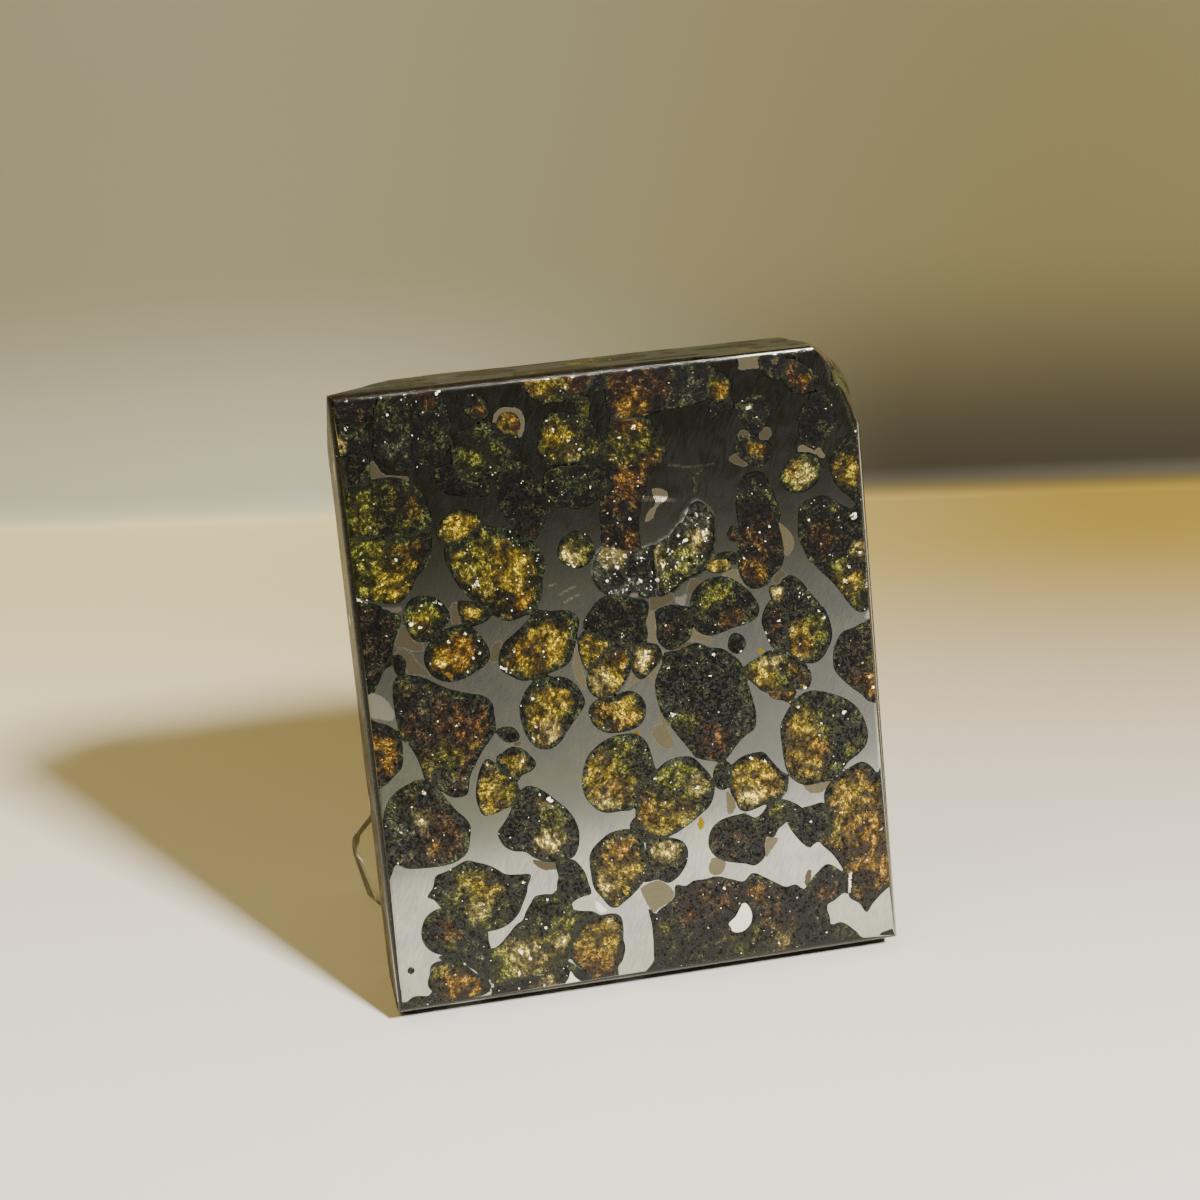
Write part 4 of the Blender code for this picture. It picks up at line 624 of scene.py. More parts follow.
# Glints painted white as highlights into the crystals' colour, at fracture faces: right, up, radius in mm on the face.
GLINTS = (
    (1.4, 56.9, 0.25), (5.3, 57.7, 0.2), (8.5, 57.5, 0.25), (9.8, 57.3, 0.2), (10.0, 59.2, 0.2), (28.2, 54.0, 0.25),
    (46.9, 53.6, 0.2), (47.6, 54.1, 0.2), (3.1, 41.9, 0.2), (4.6, 44.2, 0.2), (4.1, 40.3, 0.15), (6.5, 39.6, 0.25),
    (7.8, 39.8, 0.25), (8.3, 39.4, 0.15), (5.4, 38.1, 0.4), (6.2, 37.5, 0.2), (8.7, 37.5, 0.2), (8.7, 38.1, 0.15),
    (8.7, 35.8, 0.2), (8.0, 33.8, 0.2), (9.9, 33.7, 0.15), (10.8, 33.9, 0.2), (11.6, 35.5, 0.15), (11.4, 34.4, 0.2),
    (10.3, 36.4, 0.2), (11.2, 44.1, 0.2), (11.7, 43.6, 0.15), (16.2, 44.1, 0.2), (11.8, 41.0, 0.4), (13.7, 40.2, 0.25),
    (17.0, 41.4, 0.2), (17.8, 42.6, 0.2), (16.1, 39.4, 0.2), (13.3, 32.8, 0.2), (13.7, 32.4, 0.25), (14.7, 34.1, 0.2),
    (17.6, 33.8, 0.2), (18.9, 34.8, 0.2), (20.3, 42.9, 0.2), (20.9, 41.8, 0.35), (21.3, 41.4, 0.2), (27.5, 32.3, 0.35),
    (26.6, 31.4, 0.2), (27.2, 31.9, 0.15), (29.6, 34.7, 0.2), (28.8, 34.4, 0.15), (24.6, 42.0, 0.3), (25.4, 40.9, 0.25),
    (24.3, 39.7, 0.2), (26.4, 41.6, 0.25), (27.4, 39.2, 0.3), (27.8, 41.3, 0.2), (26.2, 39.4, 0.2), (29.2, 39.2, 0.25),
    (30.4, 38.8, 0.2), (29.8, 40.6, 0.3), (31.0, 40.2, 0.25), (30.6, 41.8, 0.3), (31.8, 41.0, 0.2), (32.2, 42.6, 0.3),
    (33.1, 43.4, 0.25), (34.1, 43.0, 0.2), (33.4, 45.0, 0.25), (31.6, 43.2, 0.2), (25.2, 42.8, 0.2), (37.2, 32.3, 0.15),
    (36.7, 31.2, 0.2), (36.9, 29.9, 0.2), (38.4, 34.0, 0.3), (38.6, 31.0, 0.25), (37.8, 40.4, 0.2), (40.5, 43.0, 0.2),
    (39.5, 42.5, 0.2), (48.9, 43.1, 0.4), (44.5, 43.2, 0.2), (46.4, 39.6, 0.2), (48.0, 38.2, 0.25), (47.6, 36.9, 0.2),
    (49.8, 36.3, 0.35), (49.3, 39.5, 0.2), (46.1, 44.3, 0.2), (43.1, 36.1, 0.2), (43.8, 35.7, 0.2), (43.8, 31.0, 0.15),
    (45.2, 33.4, 0.2), (44.7, 34.2, 0.15), (42.6, 31.1, 0.2), (39.2, 32.7, 0.2), (39.5, 32.0, 0.2), (40.7, 33.7, 0.2),
    (42.8, 26.7, 0.25), (29.4, 25.9, 0.3), (29.4, 30.6, 0.2), (33.5, 29.2, 0.2), (34.0, 31.3, 0.2), (35.4, 24.4, 0.2),
    (36.2, 23.8, 0.15), (29.4, 23.8, 0.25), (16.1, 29.3, 0.2), (18.7, 30.8, 0.2), (16.0, 26.5, 0.2), (15.7, 25.4, 0.2),
    (3.5, 29.6, 0.2), (8.6, 27.6, 0.2), (10.2, 26.4, 0.2), (4.2, 19.0, 0.25), (4.8, 21.5, 0.25), (2.1, 18.0, 0.2),
    (6.2, 17.1, 0.15), (14.5, 23.3, 0.2), (11.8, 22.4, 0.15), (11.1, 23.4, 0.15), (15.8, 19.8, 0.2), (16.7, 19.2, 0.35),
    (16.0, 15.0, 0.3), (16.7, 15.6, 0.2), (9.2, 12.4, 0.2), (9.3, 9.6, 0.2), (13.4, 11.3, 0.2), (7.4, 6.4, 0.15),
    (6.8, 4.1, 0.15), (8.5, 4.2, 0.15), (5.8, 3.1, 0.15), (7.9, 0.7, 0.15), (11.4, 0.4, 0.15), (11.8, 0.8, 0.15),
    (14.2, 0.7, 0.2), (12.4, 4.4, 0.3), (13.4, 3.6, 0.3), (11.9, 2.3, 0.25), (14.2, 4.6, 0.2), (16.7, 4.7, 0.25),
    (15.4, 9.3, 0.2), (15.0, 6.5, 0.2), (22.7, 8.7, 0.15), (24.4, 12.3, 0.15), (28.0, 0.5, 0.15), (31.1, 4.1, 0.15),
    (32.5, 5.8, 0.15), (33.0, 7.8, 0.15), (37.4, 4.1, 0.15), (38.0, 1.4, 0.2), (39.4, 2.2, 0.15), (36.8, 20.5, 0.2),
    (38.2, 20.1, 0.2), (38.9, 16.4, 0.2), (35.7, 16.5, 0.2), (46.5, 18.4, 0.3), (45.2, 18.9, 0.2), (46.5, 23.7, 0.3),
    (41.9, 24.9, 0.2), (44.1, 23.1, 0.2), (41.8, 18.6, 0.2), (49.2, 27.0, 0.25), (49.6, 25.9, 0.2), (39.6, 15.3, 0.2),
    (40.8, 14.8, 0.15), (33.2, 12.1, 0.15), (35.4, 11.2, 0.15), (42.3, 13.3, 0.2), (45.4, 13.8, 0.2), (48.0, 13.4, 0.15),
    (49.3, 11.5, 0.2), (49.6, 11.0, 0.15), (47.6, 8.6, 0.2), (49.3, 5.7, 0.15), (21.3, 23.0, 0.2), (25.0, 23.8, 0.2),
    (21.2, 18.4, 0.2), (28.8, 17.4, 0.15), (28.1, 17.3, 0.2), (27.1, 19.8, 0.2), (30.9, 19.7, 0.2), (31.2, 18.3, 0.3),
    (29.6, 15.6, 0.2), (21.9, 53.4, 0.2), (20.6, 54.6, 0.2), (23.0, 52.4, 0.25), (22.4, 50.0, 0.2), (20.9, 48.6, 0.2),
    (23.6, 48.8, 0.2), (26.8, 53.2, 0.2), (25.9, 51.2, 0.2), (27.6, 50.4, 0.15), (27.0, 45.4, 0.2), (39.4, 54.6, 0.25),
    (43.6, 48.0, 0.15), (48.4, 47.6, 0.2), (20.4, 59.4, 0.25), (22.0, 58.4, 0.2),
)


SCORES_AND_EDGE_HIGHLIGHTS = (
    ((28.6, 47.3), (31.1, 46.9)), ((28.6, 47.0), (31.6, 46.6)), ((31.2, 50.1), (33.3, 49.6)), ((33.3, 49.6), (35.6, 49.7)),
    ((33.5, 48.6), (33.7, 47.9)), ((33.7, 47.9), (33.5, 47.2)), ((33.9, 48.9), (34.4, 49.2)),
    ((45.6, 5.5), (45.9, 7.5)),
    ((18.6, 39.9), (19.4, 40.1)), ((19.6, 39.0), (21.2, 39.6)), ((20.0, 38.2), (21.5, 38.8)),
    ((0.1, 41.0), (1.5, 40.6)), ((3.5, 59.7), (5.3, 59.8)),
    ((10.2, 59.8), (13.0, 59.9)), ((26.0, 60.0), (32.0, 59.9)), ((33.0, 60.0), (38.0, 59.9)),
    ((45.8, 59.8), (46.7, 59.4)), ((46.7, 59.4), (47.0, 58.6)), ((47.0, 58.6), (47.5, 57.4)),
    ((47.5, 57.4), (47.6, 56.1)), ((47.6, 56.1), (48.5, 55.3)), ((48.5, 55.3), (49.1, 53.4)),
    ((49.1, 53.4), (49.3, 52.2)), ((49.3, 52.2), (49.8, 51.2)))
# Bright scores and burrs of the metal on the face, and highlights painted white along the top edge: two ends of each,
# in mm.
"""Bright scores and burrs of the metal on the face: two ends of each, in mm."""


def closed_curve(outline: Sequence[Point], steps: int = 6) -> np.ndarray:
    """Return a smooth closed curve through given points.

    Args:
        outline: The points in order.
        steps: Samples from each point to the next.

    Returns:
        Points of the curve, one a row.
    """
    knots = np.array(outline, dtype=float)
    before, after, later = (np.roll(knots, shift, axis=0) for shift in (1, -1, -2))
    samples = []
    for t in np.linspace(0.0, 1.0, steps, endpoint=False):
        samples.append(0.5 * (2.0 * knots + (after - before) * t
                              + (2.0 * before - 5.0 * knots + 4.0 * after - later) * t ** 2
                              + (3.0 * knots - before - 3.0 * after + later) * t ** 3))
    return np.stack(samples, axis=1).reshape(-1, 2)


def inside_distance(points: np.ndarray, curve: np.ndarray) -> np.ndarray:
    """Return how far inside a closed curve each point lies, negative outside.

    Args:
        points: Points, one a row.
        curve: The curve's points, one a row.

    Returns:
        The signed distance of each point to the curve.
    """
    start, end = curve, np.roll(curve, -1, axis=0)
    along = end - start
    length = np.maximum((along ** 2).sum(axis=1), 1e-12)
    offset = points[:, None, :] - start[None, :, :]
    t = np.clip((offset * along).sum(axis=2) / length, 0.0, 1.0)
    distance = np.sqrt(((offset - t[..., None] * along) ** 2).sum(axis=2)).min(axis=1)
    spans = (start[None, :, 1] > points[:, None, 1]) != (end[None, :, 1] > points[:, None, 1])
    rise = np.where(np.abs(along[:, 1]) < 1e-12, 1e-12, along[:, 1])
    crossing = start[None, :, 0] + (points[:, None, 1] - start[None, :, 1]) / rise * along[None, :, 0]
    inside = (spans & (points[:, None, 0] < crossing)).sum(axis=1) % 2 == 1
    return np.where(inside, distance, -distance)


def smooth_step(low: float | np.ndarray, high: float | np.ndarray, value: np.ndarray) -> np.ndarray:
    """Return 0 below low, 1 above high and a smooth rise between."""
    t = np.clip((value - low) / (high - low), 0.0, 1.0)
    return t * t * (3.0 - 2.0 * t)


@dataclass
class FaceMap:
    """Works out, for points of the stone, which crystal they lie in and how it looks there."""

    reach: float = 1.6
    drift: float = 0.15
    layer: float = 5.0
    layer_shift: tuple[float, float] = (17.0, 23.0)
    layer_rounding: float = 2.4
    bend: float = 1.1
    bend_size: float = 3.5
    bend_start: float = 3.0
    base_share: float = 0.6
    rim_shade_lean: float = 0.45
    rim_wave: float = 0.9
    rim_waviness: float = 0.9
    rim_shade_side: tuple[float, float] = (0.6, 0.8)
    zone_weight: float = 4.0
    side_dullness: float = 0.8
    score_and_highlight_width: float = 0.2
    rim_shade_share: float = 0.7

    def shade(self, grain: Grain, points: np.ndarray, inside: np.ndarray) -> np.ndarray:
        """Return the linear colour of a crystal at points of the face.

        Args:
            grain: The crystal.
            points: Points in mm, one a row.
            inside: Distance inside the crystal's outline.

        Returns:
            Linear red, green and blue, one row a point.
        """
        base = np.array(linear(grain.tone.value)[:3])
        total = np.ones(len(points))
        colour = np.tile(base, (len(points), 1)) * grain.glow * self.base_share
        for u, v, radius, tone, glow in grain.zones:
            squared = ((points - (u, v)) ** 2).sum(axis=1) / radius ** 2
            weight = self.zone_weight * np.exp(-squared)
            colour += weight[:, None] * np.array(linear(tone.value)[:3]) * glow
            total += weight
        colour /= total[:, None]
        outline = np.array(grain.outline)
        away = points - outline.mean(axis=0)
        away /= np.maximum(np.linalg.norm(away, axis=1), 1e-6)[:, None]
        # The crystal's border is painted dark as shade, wider towards the upper right and wavering.
        lean = np.clip(away @ np.array(self.rim_shade_side), -1.0, 1.0)
        waves = np.array([noise.noise(Vector((u, v, 0.0)) / self.rim_wave) for u, v in points])
        rim = grain.rim * (1.0 + self.rim_shade_lean * lean + self.rim_waviness * waves)
        lit = smooth_step(0.65 * rim, 0.08 + 1.15 * rim, inside)
        rim_shade_colour = np.array(linear(Tone.BOTTLE.value)[:3]) * self.rim_shade_share
        return rim_shade_colour + (colour - rim_shade_colour) * lit[:, None]

    def read(self, places: np.ndarray) -> dict[str, np.ndarray]:
        """Return every attribute of the stone's material.

        Args:
            places: Right, depth and up of each point in mm from the face's lower left corner.

        Returns:
            Arrays by attribute name, one value or colour a point.
        """
        count = len(places)
        depth = np.maximum(places[:, 1], 0.0)
        flat, lower, closing = self.layers(places[:, (0, 2)] + self.bent(places, depth), depth)
        found = {part.value: np.full(count, -self.reach) for part in Part}
        found["sparkle"] = np.zeros(count)
        found["seed"] = np.zeros(count)
        found["glint"] = np.full(count, -1.0)
        found["tone"] = np.tile(np.array(linear(Tone.BLACK_GREEN.value)), (count, 1))
        found["tan_tone"] = np.tile(np.array(linear(Tone.TAN.value)), (count, 1))
        for index, grain in enumerate(GRAINS):
            turn = 2.4 * index
            points = flat - self.drift * lower[:, None] * np.array((math.cos(turn), math.sin(turn)))
            near, inside = self.reached(grain.outline, points)
            inside = inside - closing[near]
            nearer = inside > found[Part.OLIVINE.value][near]
            chosen = near[nearer]
            found[Part.OLIVINE.value][chosen] = inside[nearer]
            found["tone"][chosen, :3] = self.shade(grain, points[chosen], inside[nearer])
            found["sparkle"][chosen] = grain.sparkle
            found["seed"][chosen] = index * 0.37 % 1.0
        for patch in PATCHES:
            near, inside = self.reached(patch.outline, flat)
            inside = inside - closing[near]
            name = patch.part.value
            nearer = inside > found[name][near]
            found[name][near[nearer]] = inside[nearer]
            if patch.part is Part.PHOSPHIDE:
                found["tan_tone"][near[nearer]] = linear(patch.tone.value)
        # White glints painted as highlights at the listed fracture faces.
        for u, v, radius in GLINTS:
            away = np.sqrt(((places[:, (0, 2)] - (u, v)) ** 2).sum(axis=1) + depth ** 2)
            found["glint"] = np.maximum(found["glint"], np.clip(1.0 - away / radius, -1.0, 1.0))
        found["score_and_edge_highlight"] = np.full(count, -self.reach)
        face = np.flatnonzero(depth < self.layer)
        for start, end in SCORES_AND_EDGE_HIGHLIGHTS:
            along = np.subtract(end, start)
            share = np.clip((places[face][:, (0, 2)] - start) @ along / (along @ along), 0.0, 1.0)
            nearest = np.array(start) + share[:, None] * along
            away = np.sqrt(((places[face][:, (0, 2)] - nearest) ** 2).sum(axis=1) + depth[face] ** 2)
            found["score_and_edge_highlight"][face] = np.maximum(found["score_and_edge_highlight"][face], self.score_and_highlight_width - away)
        found[Part.OLIVINE.value] = np.minimum(found[Part.OLIVINE.value], -found[Part.BRIGHT_METAL_AND_HIGHLIGHT.value])
        found["polish"] = 1.0 - self.side_dullness * smooth_step(0.3, 0.9, depth)
        return found

    def bent(self, places: np.ndarray, depth: np.ndarray) -> np.ndarray:
        """Return how far the crystals' borders wander sideways below the face, in mm."""
        moved = np.zeros((len(places), 2))
        for index in np.flatnonzero(depth > 0.1):
            wave = noise.noise_vector(Vector(places[index]) / self.bend_size)
            moved[index] = (wave.x, wave.z)
        return moved * self.bend * np.clip(depth / self.bend_start, 0.0, 1.0)[:, None]

    def layers(self, flat: np.ndarray, depth: np.ndarray) -> tuple[np.ndarray, np.ndarray, np.ndarray]:
        """Return where the points of deeper layers are looked up on the face.

        Args:
            flat: Right and up of each point in mm.
            depth: Distance of each point behind the face in mm.

        Returns:
            The places looked up, the depth in the layer and how much crystals close up there.
        """
        level = np.floor(depth / self.layer)
        lower = depth - level * self.layer
        size = np.array((EndCut.face_width, EndCut.face_height))
        moved = np.mod(flat + level[:, None] * np.array(self.layer_shift), size)
        moved = np.where(level[:, None] < 0.5, flat, moved)
        above = np.where(level < 0.5, self.layer, lower)
        short = self.layer_rounding - np.minimum(self.layer_rounding, np.minimum(above, self.layer - lower))
        closing = self.layer_rounding - np.sqrt(self.layer_rounding ** 2 - short ** 2)
        return moved, lower, closing

    def reached(self, outline: Sequence[Point], points: np.ndarray) -> tuple[np.ndarray, np.ndarray]:
        """Return which points lie near an outline and how far inside it they are.

        Args:
            outline: Points of the outline.
            points: Points of the face, one a row.

        Returns:
            Indices of the near points, and their signed distances.
        """
        curve = closed_curve(outline)
        low, high = curve.min(axis=0) - self.reach, curve.max(axis=0) + self.reach
        near = np.flatnonzero(((points > low) & (points < high)).all(axis=1))
        return near, inside_distance(points[near], curve)


@dataclass
class EndCut:
    """The sawn and polished end of a meteorite, leaning back on its flat spot.

    Sizes are in mm and degrees, in a frame that stands on the lower left corner of
    the face: x right, y back, z up the face.
    """

    face_width: float = 50.3
    face_height: float = 60.0
    edge_depth: float = 12.6
    edge_radius: float = 0.7
    edge_turns: tuple[float, ...] = (45.0, 22.5, 67.5)
    lean: float = 6.5
    front_lift: float = 1.4
    foot_start: float = 5.0
    foot_middle: float = 8.7
    back_bulge: float = 3.4
    right_corner: tuple[float, float] = (5.9, 11.6)
    left_corner: tuple[float, float] = (8.5, 16.0)
    right_flare: float = 1.6
    flare_depth: float = 2.4
    saw_allowance: float = 2.0
    corner_allowance: float = 0.3
    hollow_size: float = 9.0
    hollow_depth: float = 1.1
    lump_size: float = 5.0
    lump_height: float = 0.9
    skin_grid: float = 0.65
    face_grid: float = 0.25
    side_grid: float = 0.5
    pit_depth: float = 0.16
    pit_size: float = 0.5

    def to_frame(self) -> Matrix:
        """Return the matrix from the stone's own sizes in metres to the object's frame."""
        stand = Matrix.Translation(Vector((0.0, -self.foot_middle, self.front_lift)) * MM)
        turn = Matrix.Rotation(math.radians(-self.lean), 4, "X")
        return stand @ turn @ Matrix.Translation(Vector((-self.face_width / 2.0 * MM, 0.0, 0.0)))

    def skin_relief(self, point: Vector) -> float:
        """Return the height in mm of the weathered skin above the smooth nodule."""
        hollow = noise.noise(point / self.hollow_size + Vector((3.1, 7.7, 1.9)))
        cell = noise.voronoi(point / self.lump_size + Vector((5.3, 0.4, 2.2)))[0][0]
        lump = max(0.0, 1.0 - 2.2 * cell * cell)
        return self.hollow_depth * hollow + self.lump_height * lump

    def round_off(self, place: Point, corner: Point, side: float, radii: Point, inset: float) -> Point:
        """Pull a point of the block's corner onto an oval, seen from the front.

        Args:
            place: The point's x and z.
            corner: The block's corner.
            side: 1 for the right corner and -1 for the left.
            radii: Width and height of the rounding.
            inset: How far inside the oval the surface lies there.

        Returns:
            The point's new x and z.
        """
        over_x = 1.0 - side * (corner[0] - place[0]) / radii[0]
        over_z = 1.0 - (corner[1] - place[1]) / radii[1]
        if over_x <= 0.0 or over_z <= 0.0:
            return place
        radial = max(over_x, over_z) / math.hypot(over_x, over_z)
        inset *= min(over_x, over_z) / max(over_x, over_z)
        x = corner[0] - side * (radii[0] - over_x * radial * (radii[0] - inset))
        z = corner[1] - radii[1] + over_z * radial * (radii[1] - inset)
        return x, z

    def shape_nodule(self, co: Vector) -> Vector:
        """Return where a point of the plain block lies on the natural nodule."""
        x, depth, z = co
        relief = self.skin_relief(co)
        across, upward = 2.0 * x / self.face_width - 1.0, 2.0 * z / self.face_height - 1.0
        dome = max(0.0, 1.0 - across * across) * max(0.0, 1.0 - upward * upward)
        backness = max(0.0, depth / self.edge_depth)
        y = depth + backness * backness * (self.back_bulge * dome + relief - 0.3 * self.hollow_depth)
        flare = self.right_flare * max(0.0, 1.0 - depth / self.flare_depth) ** 2
        right = (self.face_width + self.corner_allowance, self.face_height + self.corner_allowance)
        x, z = self.round_off((x, z), right, 1.0, self.right_corner, flare - 0.6 * relief)
        growth = backness ** 0.75
        radii = (self.saw_allowance + self.left_corner[0] * growth,
                 self.saw_allowance + self.left_corner[1] * growth)
        x, z = self.round_off((x, z), (-self.saw_allowance, right[1]), -1.0, radii, -0.6 * relief * growth)
        return Vector((x, y, z))

    def nodule(self) -> bmesh.types.BMesh:
        """Return the natural nodule, larger than the sawn stone all round."""
        low = Vector((-self.saw_allowance,) * 3)
        high = Vector((self.face_width + self.corner_allowance, self.edge_depth,
                       self.face_height + self.corner_allowance))
        size = high - low
        bm = bmesh.new()
        bmesh.ops.create_cube(bm, size=1.0)
        bmesh.ops.scale(bm, vec=size, verts=bm.verts)
        bmesh.ops.translate(bm, vec=(low + high) / 2.0, verts=bm.verts)
        for axis in range(3):
            step = Vector([float(index == axis) for index in range(3)])
            self.grid_cut(bm, bm.faces[:], low[axis], high[axis], step, self.skin_grid)
        for vert in bm.verts:
            vert.co = self.shape_nodule(vert.co.copy())
        for face in bm.faces:
            face.material_index = 1
        return bm

    def grid_cut(self, bm: bmesh.types.BMesh, faces: list[bmesh.types.BMFace], low: float, high: float,
                 step: Vector, size: float) -> list[bmesh.types.BMFace]:
        """Cut faces along evenly spaced planes.

        Args:
            bm: The mesh.
            faces: The faces to cut.
            low: Where the faces start along step.
            high: Where they end.
            step: Unit direction across the planes.
            size: Spacing of the planes.

        Returns:
            All the faces that they became.
        """
        count = max(1, round((high - low) / size))
        finished = []
        for index in range(1, count):
            at = low + (high - low) * index / count
            edges = {edge for face in faces for edge in face.edges}
            verts = {vert for face in faces for vert in face.verts}
            cut = bmesh.ops.bisect_plane(bm, geom=[*faces, *edges, *verts], dist=1e-6,
                                         plane_co=step * at, plane_no=step)
            pieces = {item for item in cut["geom"] if isinstance(item, bmesh.types.BMFace)}
            faces = []
            for face in pieces:
                below = face.calc_center_median().dot(step) < at
                (finished if below else faces).append(face)
        return finished + faces

    def saw(self, bm: bmesh.types.BMesh, point: Vector, outward: Vector) -> list[bmesh.types.BMFace]:
        """Cut away what lies outside a plane and close the cut.

        Args:
            bm: The mesh.
            point: A point of the plane.
            outward: The plane's normal, towards the waste.

        Returns:
            The new faces of the cut.
        """
        everything = bm.verts[:] + bm.edges[:] + bm.faces[:]
        cut = bmesh.ops.bisect_plane(bm, geom=everything, dist=1e-6, plane_co=point, plane_no=outward,
                                     clear_outer=True)
        edges = [item for item in cut["geom_cut"] if isinstance(item, bmesh.types.BMEdge)]
        made = bmesh.ops.contextual_create(bm, geom=edges)["faces"]
        for face in made:
            face.material_index = 0
        return made

    def sawn_block(self) -> bmesh.types.BMesh:
        """Return the nodule after its saw cuts, its sawn faces in a fine grid."""
        bm = self.nodule()
        left, right = Vector((-1.0, 0.0, 0.0)), Vector((1.0, 0.0, 0.0))
        front, down, up = Vector((0.0, -1.0, 0.0)), Vector((0.0, 0.0, -1.0)), Vector((0.0, 0.0, 1.0))
        low = Vector((0.0, 0.0, 0.0))
        high = Vector((self.face_width, 0.0, self.face_height))
        self.saw(bm, low, front)
        for corner, outward in ((low, left), (high, right), (high, up)):
            self.saw(bm, corner, outward)
        upright = Matrix.Rotation(math.radians(self.lean), 3, "X")
        slope = math.atan2(self.front_lift, self.foot_start)
        self.saw(bm, upright @ Vector((0.0, self.foot_start, -self.front_lift)), upright @ down)
        self.saw(bm, low, upright @ Vector((0.0, -math.sin(slope), -math.cos(slope))))
        for corner, outward in ((low, left), (high, right), (high, up), (low, down)):
            centre = corner - (outward + front) * self.edge_radius
            for turn in self.edge_turns:
                way = outward * math.cos(math.radians(turn)) + front * math.sin(math.radians(turn))
                self.saw(bm, centre + way * self.edge_radius, way)
        bmesh.ops.recalc_face_normals(bm, faces=bm.faces)
        self.refine(bm)
        return bm

    def refine(self, bm: bmesh.types.BMesh) -> None:
        """Cut the flat sawn faces into grids fine enough to carry the crystals."""
        x_way, y_way, z_way = (Vector([float(index == axis) for index in range(3)]) for axis in range(3))
        large = [face for face in bm.faces if face.calc_area() > 20.0]
        for face in large:
            normal = face.normal
            fine = self.face_grid if normal.y < -0.9 else self.side_grid
            faces = [face]
            for way in (x_way, y_way, z_way):
                if abs(normal.dot(way)) > 0.9:
                    continue
                reach = [vert.co.dot(way) for part in faces for vert in part.verts]
                faces = self.grid_cut(bm, faces, min(reach), max(reach), way, fine)

    def relief(self, found: dict[str, np.ndarray], places: np.ndarray) -> np.ndarray:
        """Return how far each point of the polished face is sunk, in mm.

        Args:
            found: The face map's attributes.
            places: The points in the stone's own frame.

        Returns:
            Depth of each point behind the polished plane.
        """
        crystal = smooth_step(0.0, 0.4, found[Part.OLIVINE.value])
        sunk = np.zeros(len(places))
        rough = np.clip(found["sparkle"] - 0.9, 0.0, 1.0) * crystal
        for index in np.flatnonzero(rough > 0.0):
            pit = noise.noise(Vector(places[index]) / self.pit_size)
            sunk[index] += self.pit_depth * rough[index] * max(0.0, 0.5 + pit)
        return np.where(places[:, 1] < 1e-4, sunk, 0.0)

    def build(self) -> bpy.types.Object:
        """Return the finished stone, in the place of its CAD solid."""
        bm = self.sawn_block()
        bmesh.ops.triangulate(bm, faces=[face for face in bm.faces if len(face.verts) > 4])
        bmesh.ops.recalc_face_normals(bm, faces=bm.faces)
        places = np.array([vert.co[:] for vert in bm.verts])
        found = FaceMap().read(places)
        sunk = self.relief(found, places)
        to_frame = self.to_frame()
        for vert, depth in zip(bm.verts, sunk):
            vert.co = to_frame @ ((vert.co + Vector((0.0, depth, 0.0))) * MM)
        mesh = bpy.data.meshes.new("end_cut_dressed")
        bm.to_mesh(mesh)
        bm.free()
        for name, values in found.items():
            colour = values.ndim == 2
            layer = mesh.attributes.new(name, "FLOAT_COLOR" if colour else "FLOAT", "POINT")
            layer.data.foreach_set("color" if colour else "value", np.ascontiguousarray(values, np.float32).ravel())
        mesh.materials.append(PolishedPallasite().material())
        mesh.materials.append(WeatheredSkin().material())
        mesh.shade_smooth()
        mesh.set_sharp_from_angle(angle=math.radians(28.0))
        stone = bpy.data.objects.new("end_cut_dressed", mesh)
        bpy.context.scene.collection.objects.link(stone)
        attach(stone, "root")
        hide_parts("end_cut")
        LOG.info("stone: %d triangles", sum(len(face.vertices) - 2 for face in mesh.polygons))
        return stone


def add(tree: bpy.types.NodeTree, kind: str, inputs: dict | None = None, **settings) -> bpy.types.Node:
    """Add a node to a material.

    Args:
        tree: The node tree.
        kind: The node's type without "ShaderNode".
        inputs: Values, or sockets to link, by input name or number.
        settings: The node's own properties.

    Returns:
        The new node.
    """
    node = tree.nodes.new("ShaderNode" + kind)
    for name, value in settings.items():
        setattr(node, name, value)
    for name, value in (inputs or {}).items():
        if isinstance(value, bpy.types.NodeSocket):
            tree.links.new(value, node.inputs[name])
        else:
            node.inputs[name].default_value = value
    return node


def new_material(name: str) -> tuple[bpy.types.Material, bpy.types.NodeTree]:
    """Return a new material and its emptied node tree."""
    material = bpy.data.materials.new(name)
    material.use_nodes = True
    material.node_tree.nodes.clear()
    return material, material.node_tree


def ramp(tree: bpy.types.NodeTree, value: bpy.types.NodeSocket, low: float, high: float,
         to_low: float = 0.0, to_high: float = 1.0) -> bpy.types.NodeSocket:
    """Return a socket that rises smoothly from to_low to to_high as value goes from low to high."""
    node = add(tree, "MapRange", {"Value": value, "From Min": low, "From Max": high, "To Min": to_low,
                                  "To Max": to_high}, interpolation_type="SMOOTHSTEP")
    return node.outputs["Result"]


def blend(tree: bpy.types.NodeTree, factor: bpy.types.NodeSocket | float, low, high,
          kind: str = "MIX") -> bpy.types.NodeSocket:
    """Return a colour socket that goes from low to high."""
    node = add(tree, "Mix", {"Factor": factor}, data_type="RGBA", blend_type=kind)
    for name, value in (("A", low), ("B", high)):
        socket = [s for s in node.inputs if s.name == name and s.type == "RGBA"][0]
        if isinstance(value, bpy.types.NodeSocket):
            tree.links.new(value, socket)
        else:
            socket.default_value = value
    return [s for s in node.outputs if s.type == "RGBA"][0]


def math_node(tree: bpy.types.NodeTree, operation: str, first, second=0.0) -> bpy.types.NodeSocket:
    """Return the result socket of a sum, product or comparison of two values."""
    return add(tree, "Math", {0: first, 1: second}, operation=operation).outputs[0]


